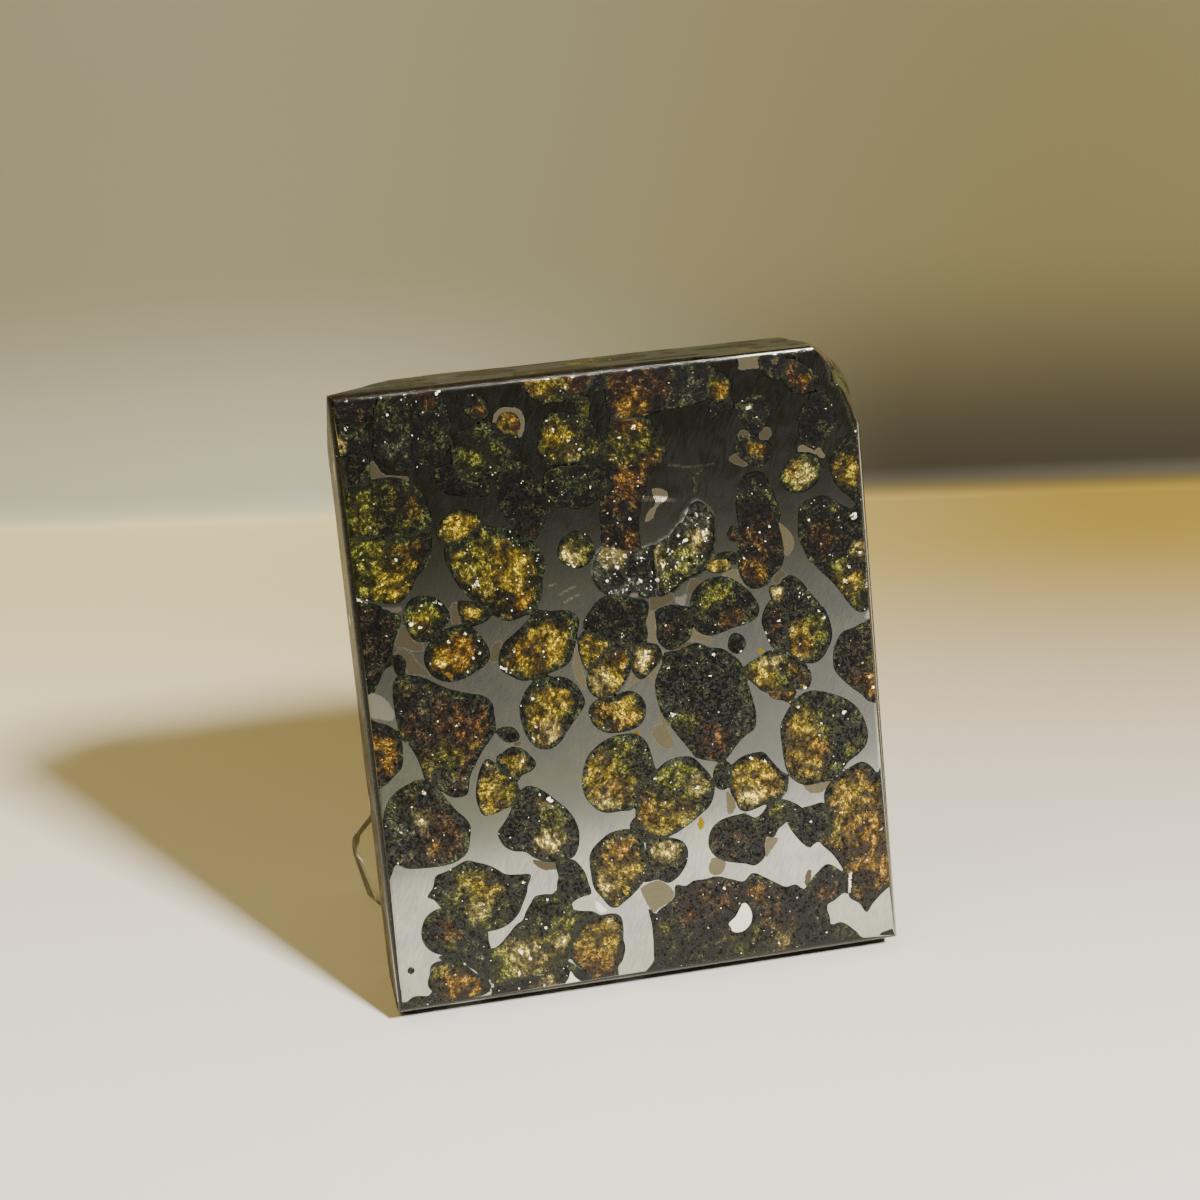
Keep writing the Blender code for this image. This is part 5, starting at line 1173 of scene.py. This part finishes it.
@dataclass(frozen=True)
class PolishedPallasite:
    """Sawn, sanded iron-nickel alloy with olivine crystals and schreibersite rims.

    The alloy is a bright grey with fine sanding marks; the crystals are glassy,
    with painted shade at their borders and gold or green where light comes through them.
    Glints, some bright patches and lines along the top edge are painted white highlights.
    """

    alloy: str = "#b0b2a4"
    sawn_alloy: str = "#5c5b52"
    bright_alloy_and_highlight: str = "#e4e2da"
    dark_alloy: str = "#929496"
    painted_glint_and_score_white: str = "#f0ecd0"
    scratch_width: float = 0.12
    scratch_length: float = 6.0
    scratch_turn: float = -24.0
    border: str = "#1c1a14"
    fleck: str = "#76723a"
    cloud_size: float = 1.2
    streak_size: tuple[float, float, float] = (0.32, 0.32, 0.5)
    chip_size: float = 0.2
    dust_size: float = 0.13
    border_noise: float = 0.35
    swirl_size: float = 0.7
    swirl_reach: float = 0.5

    def material(self) -> bpy.types.Material:
        """Return the material of the sawn faces."""
        material, tree = new_material("sanded_pallasite")
        at = add(tree, "TexCoord").outputs["Object"]
        get = {name: add(tree, "Attribute", attribute_name=name) for name in
               ("rim", "tan_rim", "bright_and_highlight_rim", "sparkle", "seed", "glint", "polish", "score_and_edge_highlight", "tone", "tan_tone")}
        rim, seed = get["rim"].outputs["Fac"], get["seed"].outputs["Fac"]
        edge = add(tree, "TexNoise", {"Vector": at, "Scale": per_metre(self.border_noise), "Detail": 2.0})
        wobble = ramp(tree, edge.outputs["Fac"], 0.3, 0.7, -0.04, 0.04)
        crystal = ramp(tree, math_node(tree, "ADD", rim, wobble), -0.015, 0.015)
        tan = ramp(tree, math_node(tree, "ADD", get["tan_rim"].outputs["Fac"], wobble), -0.04, 0.04)
        bright = ramp(tree, math_node(tree, "ADD", get["bright_and_highlight_rim"].outputs["Fac"], wobble), -0.1, 0.1)

        own = add(tree, "CombineXYZ", {"X": seed, "Y": seed, "Z": seed})
        shifted = add(tree, "VectorMath", {0: at, 1: own.outputs[0]}, operation="ADD").outputs[0]
        swirl = add(tree, "TexNoise", {"Vector": shifted, "Scale": per_metre(self.swirl_size), "Detail": 2.0})
        pull = add(tree, "VectorMath", {0: swirl.outputs["Color"], "Scale": self.swirl_reach * MM}, operation="SCALE")
        inner = add(tree, "VectorMath", {0: shifted, 1: pull.outputs[0]}, operation="ADD").outputs[0]
        turned = add(tree, "Mapping", {"Vector": inner, "Rotation": self.own_turn(tree, seed)})
        drawn = add(tree, "Mapping", {"Vector": turned.outputs[0],
                                      "Scale": [per_metre(size) for size in self.streak_size]})
        streaks = add(tree, "TexNoise", {"Vector": drawn.outputs[0], "Scale": 1.0, "Detail": 5.0,
                                         "Roughness": 0.7})
        cloud = add(tree, "TexNoise", {"Vector": inner, "Scale": per_metre(self.cloud_size), "Detail": 3.0})
        depths = ramp(tree, cloud.outputs["Fac"], 0.41, 0.6, 0.12, 0.75)
        streak = ramp(tree, streaks.outputs["Fac"], 0.42, 0.68, 0.35, 2.4)
        dust = add(tree, "TexNoise", {"Vector": inner, "Scale": per_metre(self.dust_size), "Detail": 3.0})
        grit = ramp(tree, dust.outputs["Fac"], 0.35, 0.65, 0.65, 1.35)
        both = math_node(tree, "ADD", dust.outputs["Fac"], streaks.outputs["Fac"])
        both = math_node(tree, "ADD", both, ramp(tree, cloud.outputs["Fac"], 0.35, 0.65, -0.16, 0.12))
        texture = math_node(tree, "MULTIPLY", math_node(tree, "MULTIPLY", depths, streak),
                            math_node(tree, "MULTIPLY", grit, ramp(tree, both, 1.1, 1.3, 1.0, 3.0)))
        value = add(tree, "CombineColor", {"Red": texture, "Green": texture, "Blue": texture})
        olivine = blend(tree, 1.0, get["tone"].outputs["Color"], value.outputs[0], "MULTIPLY")
        olivine = blend(tree, ramp(tree, both, 1.1, 1.32, 0.0, 0.17), olivine, linear(self.fleck))

        chips = add(tree, "TexVoronoi", {"Vector": inner, "Scale": per_metre(self.chip_size)})
        chip_tint = add(tree, "SeparateColor", {"Color": chips.outputs["Color"]})
        # Painted highlights: white glints at the listed fracture faces and random white specks.
        painted_glint_spot = ramp(tree, math_node(tree, "ADD", get["glint"].outputs["Fac"],
                                    ramp(tree, streaks.outputs["Fac"], 0.35, 0.65, -0.8, 0.35)), 0.15, 0.3)
        chance = math_node(tree, "SUBTRACT", math_node(tree, "MULTIPLY", get["sparkle"].outputs["Fac"], 0.02),
                           chip_tint.outputs["Green"])
        painted_speck = math_node(tree, "MULTIPLY", ramp(tree, chance, -0.01, 0.01),
                          ramp(tree, math_node(tree, "ADD", chips.outputs["Distance"], dust.outputs["Fac"]),
                               0.85, 0.75))
        painted_glint = math_node(tree, "MAXIMUM", painted_glint_spot, painted_speck)
        olivine = blend(tree, painted_glint, olivine, linear(self.painted_glint_and_score_white))

        marks = self.sanding(tree, at)
        metal = blend(tree, marks, linear(self.dark_alloy), linear(self.alloy))
        polish = get["polish"].outputs["Fac"]
        metal = blend(tree, ramp(tree, polish, 0.2, 1.0), linear(self.sawn_alloy), metal)
        # Bright metal patches, some of them painted highlights.
        metal = blend(tree, bright, metal, linear(self.bright_alloy_and_highlight))
        mottle = blend(tree, ramp(tree, dust.outputs["Fac"], 0.35, 0.65, 0.0, 0.3), get["tan_tone"].outputs["Color"],
                       linear(Tone.RUST.value))
        surface = blend(tree, tan, metal, mottle)
        surface = blend(tree, ramp(tree, rim, -0.07, -0.01), surface, linear(self.border))
        surface = blend(tree, crystal, surface, olivine)
        # White scores and burrs, and highlights painted white along the top edge.
        score_and_edge_highlight = ramp(tree, math_node(tree, "ADD", get["score_and_edge_highlight"].outputs["Fac"],
                                     ramp(tree, dust.outputs["Fac"], 0.3, 0.7, -0.08, 0.08)), 0.06, 0.12)
        surface = blend(tree, score_and_edge_highlight, surface, linear(self.painted_glint_and_score_white))

        not_crystal = math_node(tree, "SUBTRACT", 1.0, crystal)
        metallic = math_node(tree, "MULTIPLY", not_crystal, ramp(tree, tan, 0.0, 1.0, 1.0, 0.45))
        grind = ramp(tree, polish, 0.2, 1.0, 0.35, 0.0)
        roughness = blend(tree, crystal, math_node(tree, "ADD", grind, ramp(tree, marks, 0.0, 1.0, 0.17, 0.12)),
                          ramp(tree, dust.outputs["Fac"], 0.3, 0.7, 0.3, 0.6))
        inner_mask = ramp(tree, rim, 0.0, 0.3)
        bump = add(tree, "Bump", {"Height": math_node(tree, "MULTIPLY", inner_mask, grit), "Strength": 0.4,
                                  "Distance": 0.00001})
        tilt = add(tree, "VectorMath", {0: chips.outputs["Color"], 1: (0.5, 0.5, 0.5)}, operation="SUBTRACT")
        swing = add(tree, "VectorMath", {0: tilt.outputs[0], "Scale": math_node(tree, "MULTIPLY", crystal, 0.34)},
                    operation="SCALE")
        tilted = add(tree, "VectorMath", {0: bump.outputs[0], 1: swing.outputs[0]}, operation="ADD")
        gloss = add(tree, "VectorMath", {0: tilted.outputs[0]}, operation="NORMALIZE")
        shader = add(tree, "BsdfPrincipled", {
            "Base Color": surface, "Metallic": metallic, "Roughness": roughness, "Normal": bump.outputs[0],
            "Coat Weight": math_node(tree, "MULTIPLY", ramp(tree, crystal, 0.0, 1.0, 0.0, 0.5),
                                     polish),
            "Coat Roughness": 0.08, "Coat IOR": 1.5, "Coat Normal": gloss.outputs[0], "Specular IOR Level": 0.12})
        add(tree, "OutputMaterial", {"Surface": shader.outputs[0]})
        return material

    def own_turn(self, tree: bpy.types.NodeTree, seed: bpy.types.NodeSocket) -> bpy.types.NodeSocket:
        """Return the turn of one crystal's cleavage streaks, so that no two lie alike."""
        angle = math_node(tree, "MULTIPLY", seed, math.tau)
        return add(tree, "CombineXYZ", {"X": 0.0, "Y": angle, "Z": 0.0}).outputs[0]

    def sanding(self, tree: bpy.types.NodeTree, at: bpy.types.NodeSocket) -> bpy.types.NodeSocket:
        """Return the strength of sanding marks that run steeply down to the left."""
        turned = add(tree, "Mapping", {"Vector": at, "Rotation": (0.0, math.radians(self.scratch_turn), 0.0)})
        stretched = add(tree, "Mapping", {"Vector": turned.outputs[0], "Scale": (
            per_metre(self.scratch_width), per_metre(self.scratch_width), per_metre(self.scratch_length))})
        fine = add(tree, "TexNoise", {"Vector": stretched.outputs[0], "Scale": 1.0, "Detail": 2.0})
        broad = add(tree, "TexNoise", {"Vector": at, "Scale": per_metre(3.0), "Detail": 3.0})
        return math_node(tree, "ADD", ramp(tree, fine.outputs["Fac"], 0.3, 0.7, 0.0, 0.6),
                         ramp(tree, broad.outputs["Fac"], 0.3, 0.7, 0.0, 0.4))


@dataclass(frozen=True)
class WeatheredSkin:
    """Natural fusion crust and rust over rounded olivine lumps.

    It gives a dark, rough, brown-black surface with glassy green glints.
    """

    crust: str = "#1e1a15"
    rust: str = "#46331f"
    ash: str = "#57534a"
    crystal: str = "#3f4423"
    patch_size: float = 4.0
    lump_size: float = 5.0
    grit_size: float = 0.35

    def material(self) -> bpy.types.Material:
        """Return the material of the natural skin."""
        material, tree = new_material("weathered_meteorite_skin")
        at = add(tree, "TexCoord").outputs["Object"]
        patches = add(tree, "TexNoise", {"Vector": at, "Scale": per_metre(self.patch_size), "Detail": 5.0})
        grit = add(tree, "TexNoise", {"Vector": at, "Scale": per_metre(self.grit_size), "Detail": 3.0})
        lumps = add(tree, "TexVoronoi", {"Vector": at, "Scale": per_metre(self.lump_size)}, feature="SMOOTH_F1")
        crystal = ramp(tree, math_node(tree, "ADD", lumps.outputs["Distance"],
                                       ramp(tree, grit.outputs["Fac"], 0.3, 0.7, -0.06, 0.06)), 0.42, 0.3)
        skin = blend(tree, ramp(tree, patches.outputs["Fac"], 0.42, 0.6), linear(self.crust), linear(self.rust))
        skin = blend(tree, ramp(tree, grit.outputs["Fac"], 0.55, 0.75, 0.0, 0.6), skin, linear(self.ash))
        facets = add(tree, "TexVoronoi", {"Vector": at, "Scale": per_metre(0.6)})
        shade = add(tree, "SeparateColor", {"Color": facets.outputs["Color"]})
        glassy = blend(tree, ramp(tree, shade.outputs["Red"], 0.2, 1.0), linear(self.crust), linear(self.crystal))
        colour = blend(tree, crystal, skin, glassy)
        bump = add(tree, "Bump", {"Height": grit.outputs["Fac"], "Strength": 0.8, "Distance": 0.00025})
        tilt = add(tree, "VectorMath", {0: facets.outputs["Color"], 1: (0.5, 0.5, 0.5)}, operation="SUBTRACT")
        swing = add(tree, "VectorMath", {0: tilt.outputs[0], "Scale": ramp(tree, crystal, 0.0, 1.0, 0.35, 0.9)},
                    operation="SCALE")
        normal = add(tree, "VectorMath", {0: bump.outputs[0], 1: swing.outputs[0]}, operation="ADD")
        normal = add(tree, "VectorMath", {0: normal.outputs[0]}, operation="NORMALIZE")
        roughness = ramp(tree, crystal, 0.0, 1.0, 0.45, 0.15)
        shader = add(tree, "BsdfPrincipled", {
            "Base Color": colour, "Metallic": ramp(tree, patches.outputs["Fac"], 0.6, 0.35, 0.0, 0.6),
            "Roughness": roughness, "Normal": normal.outputs[0]})
        add(tree, "OutputMaterial", {"Surface": shader.outputs[0]})
        return material


@dataclass(frozen=True)
class ClearAcrylic:
    """Clear acrylic sheet, saw-cut and flame-polished, with faint handling marks."""

    tint: str = "#f6f8f4"
    ior: float = 1.49
    mark_size: float = 1.5

    def material(self) -> bpy.types.Material:
        """Return the material of the prop."""
        material, tree = new_material("flame_polished_acrylic")
        at = add(tree, "TexCoord").outputs["Object"]
        marks = add(tree, "TexNoise", {"Vector": at, "Scale": per_metre(self.mark_size), "Detail": 4.0})
        roughness = ramp(tree, marks.outputs["Fac"], 0.4, 0.7, 0.05, 0.16)
        bump = add(tree, "Bump", {"Height": marks.outputs["Fac"], "Strength": 0.2, "Distance": 0.00002})
        shader = add(tree, "BsdfPrincipled", {
            "Base Color": linear(self.tint), "Roughness": roughness, "IOR": self.ior,
            "Transmission Weight": 1.0, "Normal": bump.outputs[0]})
        add(tree, "OutputMaterial", {"Surface": shader.outputs[0]})
        return material


@dataclass
class Studio:
    """Pale table with a far wall, soft lamps and the camera."""

    camera_place: tuple[float, float, float] = (-34.13, -202.04, 100.24)
    forward: tuple[float, float, float] = (0.1548, 0.9439, -0.2918)
    upward: tuple[float, float, float] = (0.1233, 0.2746, 0.9536)
    focal_pixels: float = 2200.0
    table_back: float = 176.0
    sweep_radius: float = 5.0
    table_turn: float = -18.5
    half_width: float = 900.0
    table_front: float = -900.0
    wall_top: float = 900.0
    table_colour: str = "#f6f6f3"
    # Painted warm light on the far table, yellower to the right.
    far_left_warm_light_colour: str = "#e8dca8"
    far_right_warm_light_colour: str = "#98802f"
    warm_light_fade: tuple[float, float] = (-60.0, 160.0)
    # Painted light and shade on the wall: lighter to the left, darker to the right and near black at its right foot.
    wall_lit_left_colour: str = "#73725c"
    wall_shaded_right_colour: str = "#59522f"
    wall_foot_lit_left_colour: str = "#9a9c8c"
    wall_foot_shaded_right_colour: str = "#201d0a"
    wall_fade: tuple[float, float] = (4.0, 48.0)
    painted_light_side_fade: tuple[float, float] = (-120.0, 70.0)
    wall_foot_shade_fade: tuple[float, float] = (-90.0, 30.0)
    # Painted shade: the table in front of the stone darkens towards the camera.
    near_shade_left_colour: str = "#52543a"
    near_shade_right_colour: str = "#201e10"
    near_shade_side_fade: tuple[float, float] = (20.0, 110.0)
    shade_near: float = -66.0
    shade_far: float = -109.0
    key_way: tuple[float, float, float] = (0.379, -0.733, 0.566)

    def camera(self) -> bpy.types.Object:
        """Place the camera where the photograph was taken from."""
        data = bpy.data.cameras.new("camera")
        data.sensor_width = SENSOR_WIDTH
        data.lens = self.focal_pixels * SENSOR_WIDTH / IMAGE_SIDE
        data.clip_start = 0.001
        camera = bpy.data.objects.new("camera", data)
        bpy.context.scene.collection.objects.link(camera)
        back = -Vector(self.forward).normalized()
        up = Vector(self.upward)
        up = (up - back * up.dot(back)).normalized()
        camera.matrix_world = Matrix.Translation(Vector(self.camera_place) * MM) @ Matrix(
            (up.cross(back), up, back)).transposed().to_4x4()
        bpy.context.scene.camera = camera
        return camera

    def backdrop(self) -> bpy.types.Object:
        """Return the table, swept up at the back into the wall, as one curved sheet."""
        bm = bmesh.new()
        start = [bm.verts.new(Vector((side * self.half_width, self.table_front, 0.0)) * MM) for side in (-1.0, 1.0)]
        edge = bm.edges.new(start)
        made = bmesh.ops.extrude_edge_only(bm, edges=[edge])["geom"]
        verts = [item for item in made if isinstance(item, bmesh.types.BMVert)]
        bmesh.ops.translate(bm, vec=Vector((0.0, self.table_back - self.table_front, 0.0)) * MM, verts=verts)
        edges = [item for item in made if isinstance(item, bmesh.types.BMEdge)]
        centre = Vector((0.0, self.table_back, self.sweep_radius)) * MM
        made = bmesh.ops.spin(bm, geom=edges, cent=centre, axis=(1.0, 0.0, 0.0), angle=math.pi / 2.0, steps=24,
                              use_duplicate=False)["geom_last"]
        edges = [item for item in made if isinstance(item, bmesh.types.BMEdge)]
        made = bmesh.ops.extrude_edge_only(bm, edges=edges)["geom"]
        verts = [item for item in made if isinstance(item, bmesh.types.BMVert)]
        bmesh.ops.translate(bm, vec=Vector((0.0, 0.0, self.wall_top - self.sweep_radius)) * MM, verts=verts)
        for face in bm.faces:
            face.smooth = True
        turn = Matrix.Rotation(math.radians(self.table_turn), 3, "Z")
        bmesh.ops.rotate(bm, cent=(0.0, 0.0, 0.0), matrix=turn, verts=bm.verts)
        mesh = bpy.data.meshes.new("backdrop")
        bm.to_mesh(mesh)
        bm.free()
        mesh.materials.append(self.paper())
        sheet = bpy.data.objects.new("backdrop", mesh)
        bpy.context.scene.collection.objects.link(sheet)
        return sheet

    def paper(self) -> bpy.types.Material:
        """Return matt paper, white on the table and beige up the wall, with painted shade near the camera and at the
        wall's right foot, painted warm light on the far table and a painted fall from light to shade across the wall.
        """
        material, tree = new_material("matt_paper")
        at = add(tree, "TexCoord").outputs["Object"]
        turned = add(tree, "Mapping", {"Vector": at, "Rotation": (0.0, 0.0, math.radians(-self.table_turn))})
        axes = add(tree, "SeparateXYZ", {"Vector": turned.outputs[0]})
        rise = ramp(tree, axes.outputs["Y"], self.table_back * MM, (self.table_back + self.sweep_radius) * MM)
        fibre = add(tree, "TexNoise", {"Vector": at, "Scale": per_metre(2.0), "Detail": 4.0})
        # Painted shade: the near table darkens towards the camera.
        near = ramp(tree, axes.outputs["Y"], self.shade_far * MM, self.shade_near * MM)
        side = ramp(tree, axes.outputs["X"], self.painted_light_side_fade[0] * MM, self.painted_light_side_fade[1] * MM)
        # Painted warm light on the far table, yellower to the right.
        far = ramp(tree, axes.outputs["Y"], self.warm_light_fade[0] * MM, self.warm_light_fade[1] * MM)
        warm_light_colour = blend(tree, side, linear(self.far_left_warm_light_colour), linear(self.far_right_warm_light_colour))
        table = blend(tree, far, linear(self.table_colour), warm_light_colour)
        aside = ramp(tree, axes.outputs["X"], self.near_shade_side_fade[0] * MM, self.near_shade_side_fade[1] * MM)
        room = blend(tree, aside, linear(self.near_shade_left_colour), linear(self.near_shade_right_colour))
        table = blend(tree, near, room, table)
        # Painted light and shade on the wall: lighter left, darker right, darkest at its right foot.
        lift = ramp(tree, axes.outputs["Z"], self.wall_fade[0] * MM, self.wall_fade[1] * MM)
        wall_foot_shade = ramp(tree, axes.outputs["X"], self.wall_foot_shade_fade[0] * MM, self.wall_foot_shade_fade[1] * MM)
        foot = blend(tree, wall_foot_shade, linear(self.wall_foot_lit_left_colour), linear(self.wall_foot_shaded_right_colour))
        top = blend(tree, side, linear(self.wall_lit_left_colour), linear(self.wall_shaded_right_colour))
        wall = blend(tree, lift, foot, top)
        colour = blend(tree, rise, table, wall)
        bump = add(tree, "Bump", {"Height": fibre.outputs["Fac"], "Strength": 0.05, "Distance": 0.0001})
        shader = add(tree, "BsdfPrincipled", {"Base Color": colour, "Roughness": 0.7, "Normal": bump.outputs[0]})
        add(tree, "OutputMaterial", {"Surface": shader.outputs[0]})
        return material

    def lamp(self, name: str, way: Sequence[float], distance: float, size: float, power: float,
             colour: str) -> bpy.types.Object:
        """Add a soft area lamp aimed at the stone.

        Args:
            name: The lamp's name.
            way: Direction from the stone to the lamp.
            distance: Distance to the lamp in mm.
            size: Side of the square lamp in mm.
            power: Its power in watts.
            colour: Its colour as hex.

        Returns:
            The lamp.
        """
        data = bpy.data.lights.new(name, "AREA")
        data.size = size * MM
        data.energy = power
        data.color = linear(colour)[:3]
        lamp = bpy.data.objects.new(name, data)
        bpy.context.scene.collection.objects.link(lamp)
        away = Vector(way).normalized()
        lamp.location = Vector((0.0, 0.0, 25.0)) * MM + away * distance * MM
        lamp.rotation_mode = "QUATERNION"
        lamp.rotation_quaternion = away.to_track_quat("Z", "Y")
        return lamp

    def lights(self) -> None:
        """Add the key lamp, a warm fill and the dim room."""
        self.lamp("key", self.key_way, 900.0, 110.0, 25.0, "#fffaf2")
        self.lamp("fill", (-0.4, -0.3, 0.9), 900.0, 500.0, 3.0, "#ffdc8c")
        self.lamp("back_fill", (0.7, 0.6, 0.5), 900.0, 400.0, 2.0, "#fff2e0")
        world = bpy.data.worlds.new("room")
        world.use_nodes = True
        world.node_tree.nodes["Background"].inputs["Color"].default_value = linear("#8a8450")
        world.node_tree.nodes["Background"].inputs["Strength"].default_value = 0.06
        bpy.context.scene.world = world


@dataclass
class Prop:
    """The bent clear sheet that the stone leans on: a panel and two legs splayed back.

    Sizes are in mm and degrees.
    """

    sheet: float = 2.5
    front: float = 9.38
    panel_width: float = 42.0
    panel_height: float = 19.0
    leg_splay: float = 18.5
    depth: float = 17.4
    bend_radius: float = 3.0
    bend_steps: int = 5
    foot_setback: float = 3.4
    knee_height: float = 5.0
    knee_reach: float = 0.4
    knee_radius: float = 2.2
    knee_steps: int = 7
    top_slope: float = 39.0
    spare: float = 1.0
    edge_radius: float = 0.3
    edge_steps: int = 2
    sharp_angle: float = 35.0

    def bent_sheet(self) -> bmesh.types.BMesh:
        """Return the sheet bent to a panel and two legs that are still square at their ends."""
        splay = math.radians(self.leg_splay)
        length = self.depth + self.knee_reach + self.spare
        half = self.panel_width / 2.0
        end_half = half + length * math.tan(splay)
        inner_half = half - self.sheet * math.tan(math.pi / 4.0 - splay / 2.0)
        end = self.front + length
        outer, inner = (half, self.front), (inner_half, self.front + self.sheet)
        right = (outer, (end_half, end), (end_half - self.sheet / math.cos(splay), end), inner)
        plan = [*right, *((-x, y) for x, y in reversed(right))]
        bm = bmesh.new()
        base = bm.faces.new([bm.verts.new((x, y, 0.0)) for x, y in plan])
        made = bmesh.ops.extrude_face_region(bm, geom=[base])["geom"]
        raised = [item for item in made if isinstance(item, bmesh.types.BMVert)]
        bmesh.ops.translate(bm, vec=(0.0, 0.0, self.panel_height), verts=raised)
        bmesh.ops.recalc_face_normals(bm, faces=bm.faces)
        self.fillet(bm, self.upright(bm, outer), self.bend_radius, self.bend_steps)
        self.fillet(bm, self.upright(bm, inner), self.bend_radius - self.sheet, self.bend_steps)
        return bm

    def upright(self, bm: bmesh.types.BMesh, place: Point) -> list[bmesh.types.BMEdge]:
        """Return the edges that stand over a place of the plan and over its mirror image.

        Args:
            bm: The mesh.
            place: Right and back of the place.

        Returns:
            The edges.
        """
        def over(vert: bmesh.types.BMVert) -> bool:
            return math.hypot(abs(vert.co.x) - place[0], vert.co.y - place[1]) < self.edge_radius

        return [edge for edge in bm.edges
                if all(over(vert) for vert in edge.verts) and edge.verts[0].co.x * edge.verts[1].co.x > 0.0]

    def fillet(self, bm: bmesh.types.BMesh, edges: list[bmesh.types.BMEdge], radius: float, steps: int) -> None:
        """Round edges that all turn by the same angle.

        Args:
            bm: The mesh.
            edges: The edges.
            radius: Radius of the rounding.
            steps: Facets of the rounding.
        """
        reach = radius * math.tan(edges[0].calc_face_angle() / 2.0)
        bmesh.ops.bevel(bm, geom=edges, offset=reach, segments=steps, profile=0.5, affect="EDGES", material=-1)

    def saw(self, bm: bmesh.types.BMesh, point: Vector, outward: Vector) -> None:
        """Cut both legs along a plane and close the cuts.

        Args:
            bm: The mesh.
            point: A point of the plane.
            outward: The plane's normal, towards the waste.
        """
        cut = bmesh.ops.bisect_plane(bm, geom=bm.verts[:] + bm.edges[:] + bm.faces[:], dist=1e-6,
                                     plane_co=point, plane_no=outward, clear_outer=True)
        edges = [item for item in cut["geom_cut"] if isinstance(item, bmesh.types.BMEdge)]
        bmesh.ops.holes_fill(bm, edges=edges, sides=0)
        bmesh.ops.recalc_face_normals(bm, faces=bm.faces)

    def sawn_sheet(self) -> bmesh.types.BMesh:
        """Return the sheet with its legs sawn to their slope and all its edges rounded."""
        bm = self.bent_sheet()
        slope = math.radians(self.top_slope)
        knee = Vector((0.0, self.front + self.depth + self.knee_reach, self.knee_height))
        foot = Vector((0.0, self.front + self.depth - self.foot_setback, 0.0))
        shin = knee - foot
        self.saw(bm, knee, Vector((0.0, math.sin(slope), math.cos(slope))))
        self.saw(bm, knee, Vector((0.0, shin.z, -shin.y)).normalized())
        knees = [edge for edge in bm.edges if all((vert.co - knee).yz.length < self.edge_radius for vert in edge.verts)]
        self.fillet(bm, knees, self.knee_radius, self.knee_steps)
        sharp = [edge for edge in bm.edges
                 if edge.is_manifold and edge.calc_face_angle() > math.radians(self.sharp_angle)]
        bmesh.ops.bevel(bm, geom=sharp, offset=self.edge_radius, segments=self.edge_steps, profile=0.5,
                        affect="EDGES", material=-1, clamp_overlap=True)
        bmesh.ops.triangulate(bm, faces=bm.faces)
        return bm

    def build(self) -> bpy.types.Object:
        """Return the finished prop, in the place of its CAD solid."""
        bm = self.sawn_sheet()
        bmesh.ops.scale(bm, vec=(MM, MM, MM), verts=bm.verts)
        mesh = bpy.data.meshes.new("prop_dressed")
        bm.to_mesh(mesh)
        bm.free()
        mesh.materials.append(ClearAcrylic().material())
        mesh.shade_smooth()
        mesh.set_sharp_from_angle(angle=math.radians(self.sharp_angle))
        prop = bpy.data.objects.new("prop_dressed", mesh)
        bpy.context.scene.collection.objects.link(prop)
        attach(prop, "root")
        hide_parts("prop")
        LOG.info("prop: %d triangles", len(mesh.polygons))
        return prop


def main() -> None:
    """Build the stone, dress the prop and set the studio."""
    logging.basicConfig(level=logging.INFO, format="%(name)s: %(message)s")
    EndCut().build()
    Prop().build()
    studio = Studio()
    studio.backdrop()
    studio.lights()
    studio.camera()
    LOG.info("studio: backdrop, lamps and camera")


if __name__ == "__main__":
    main()
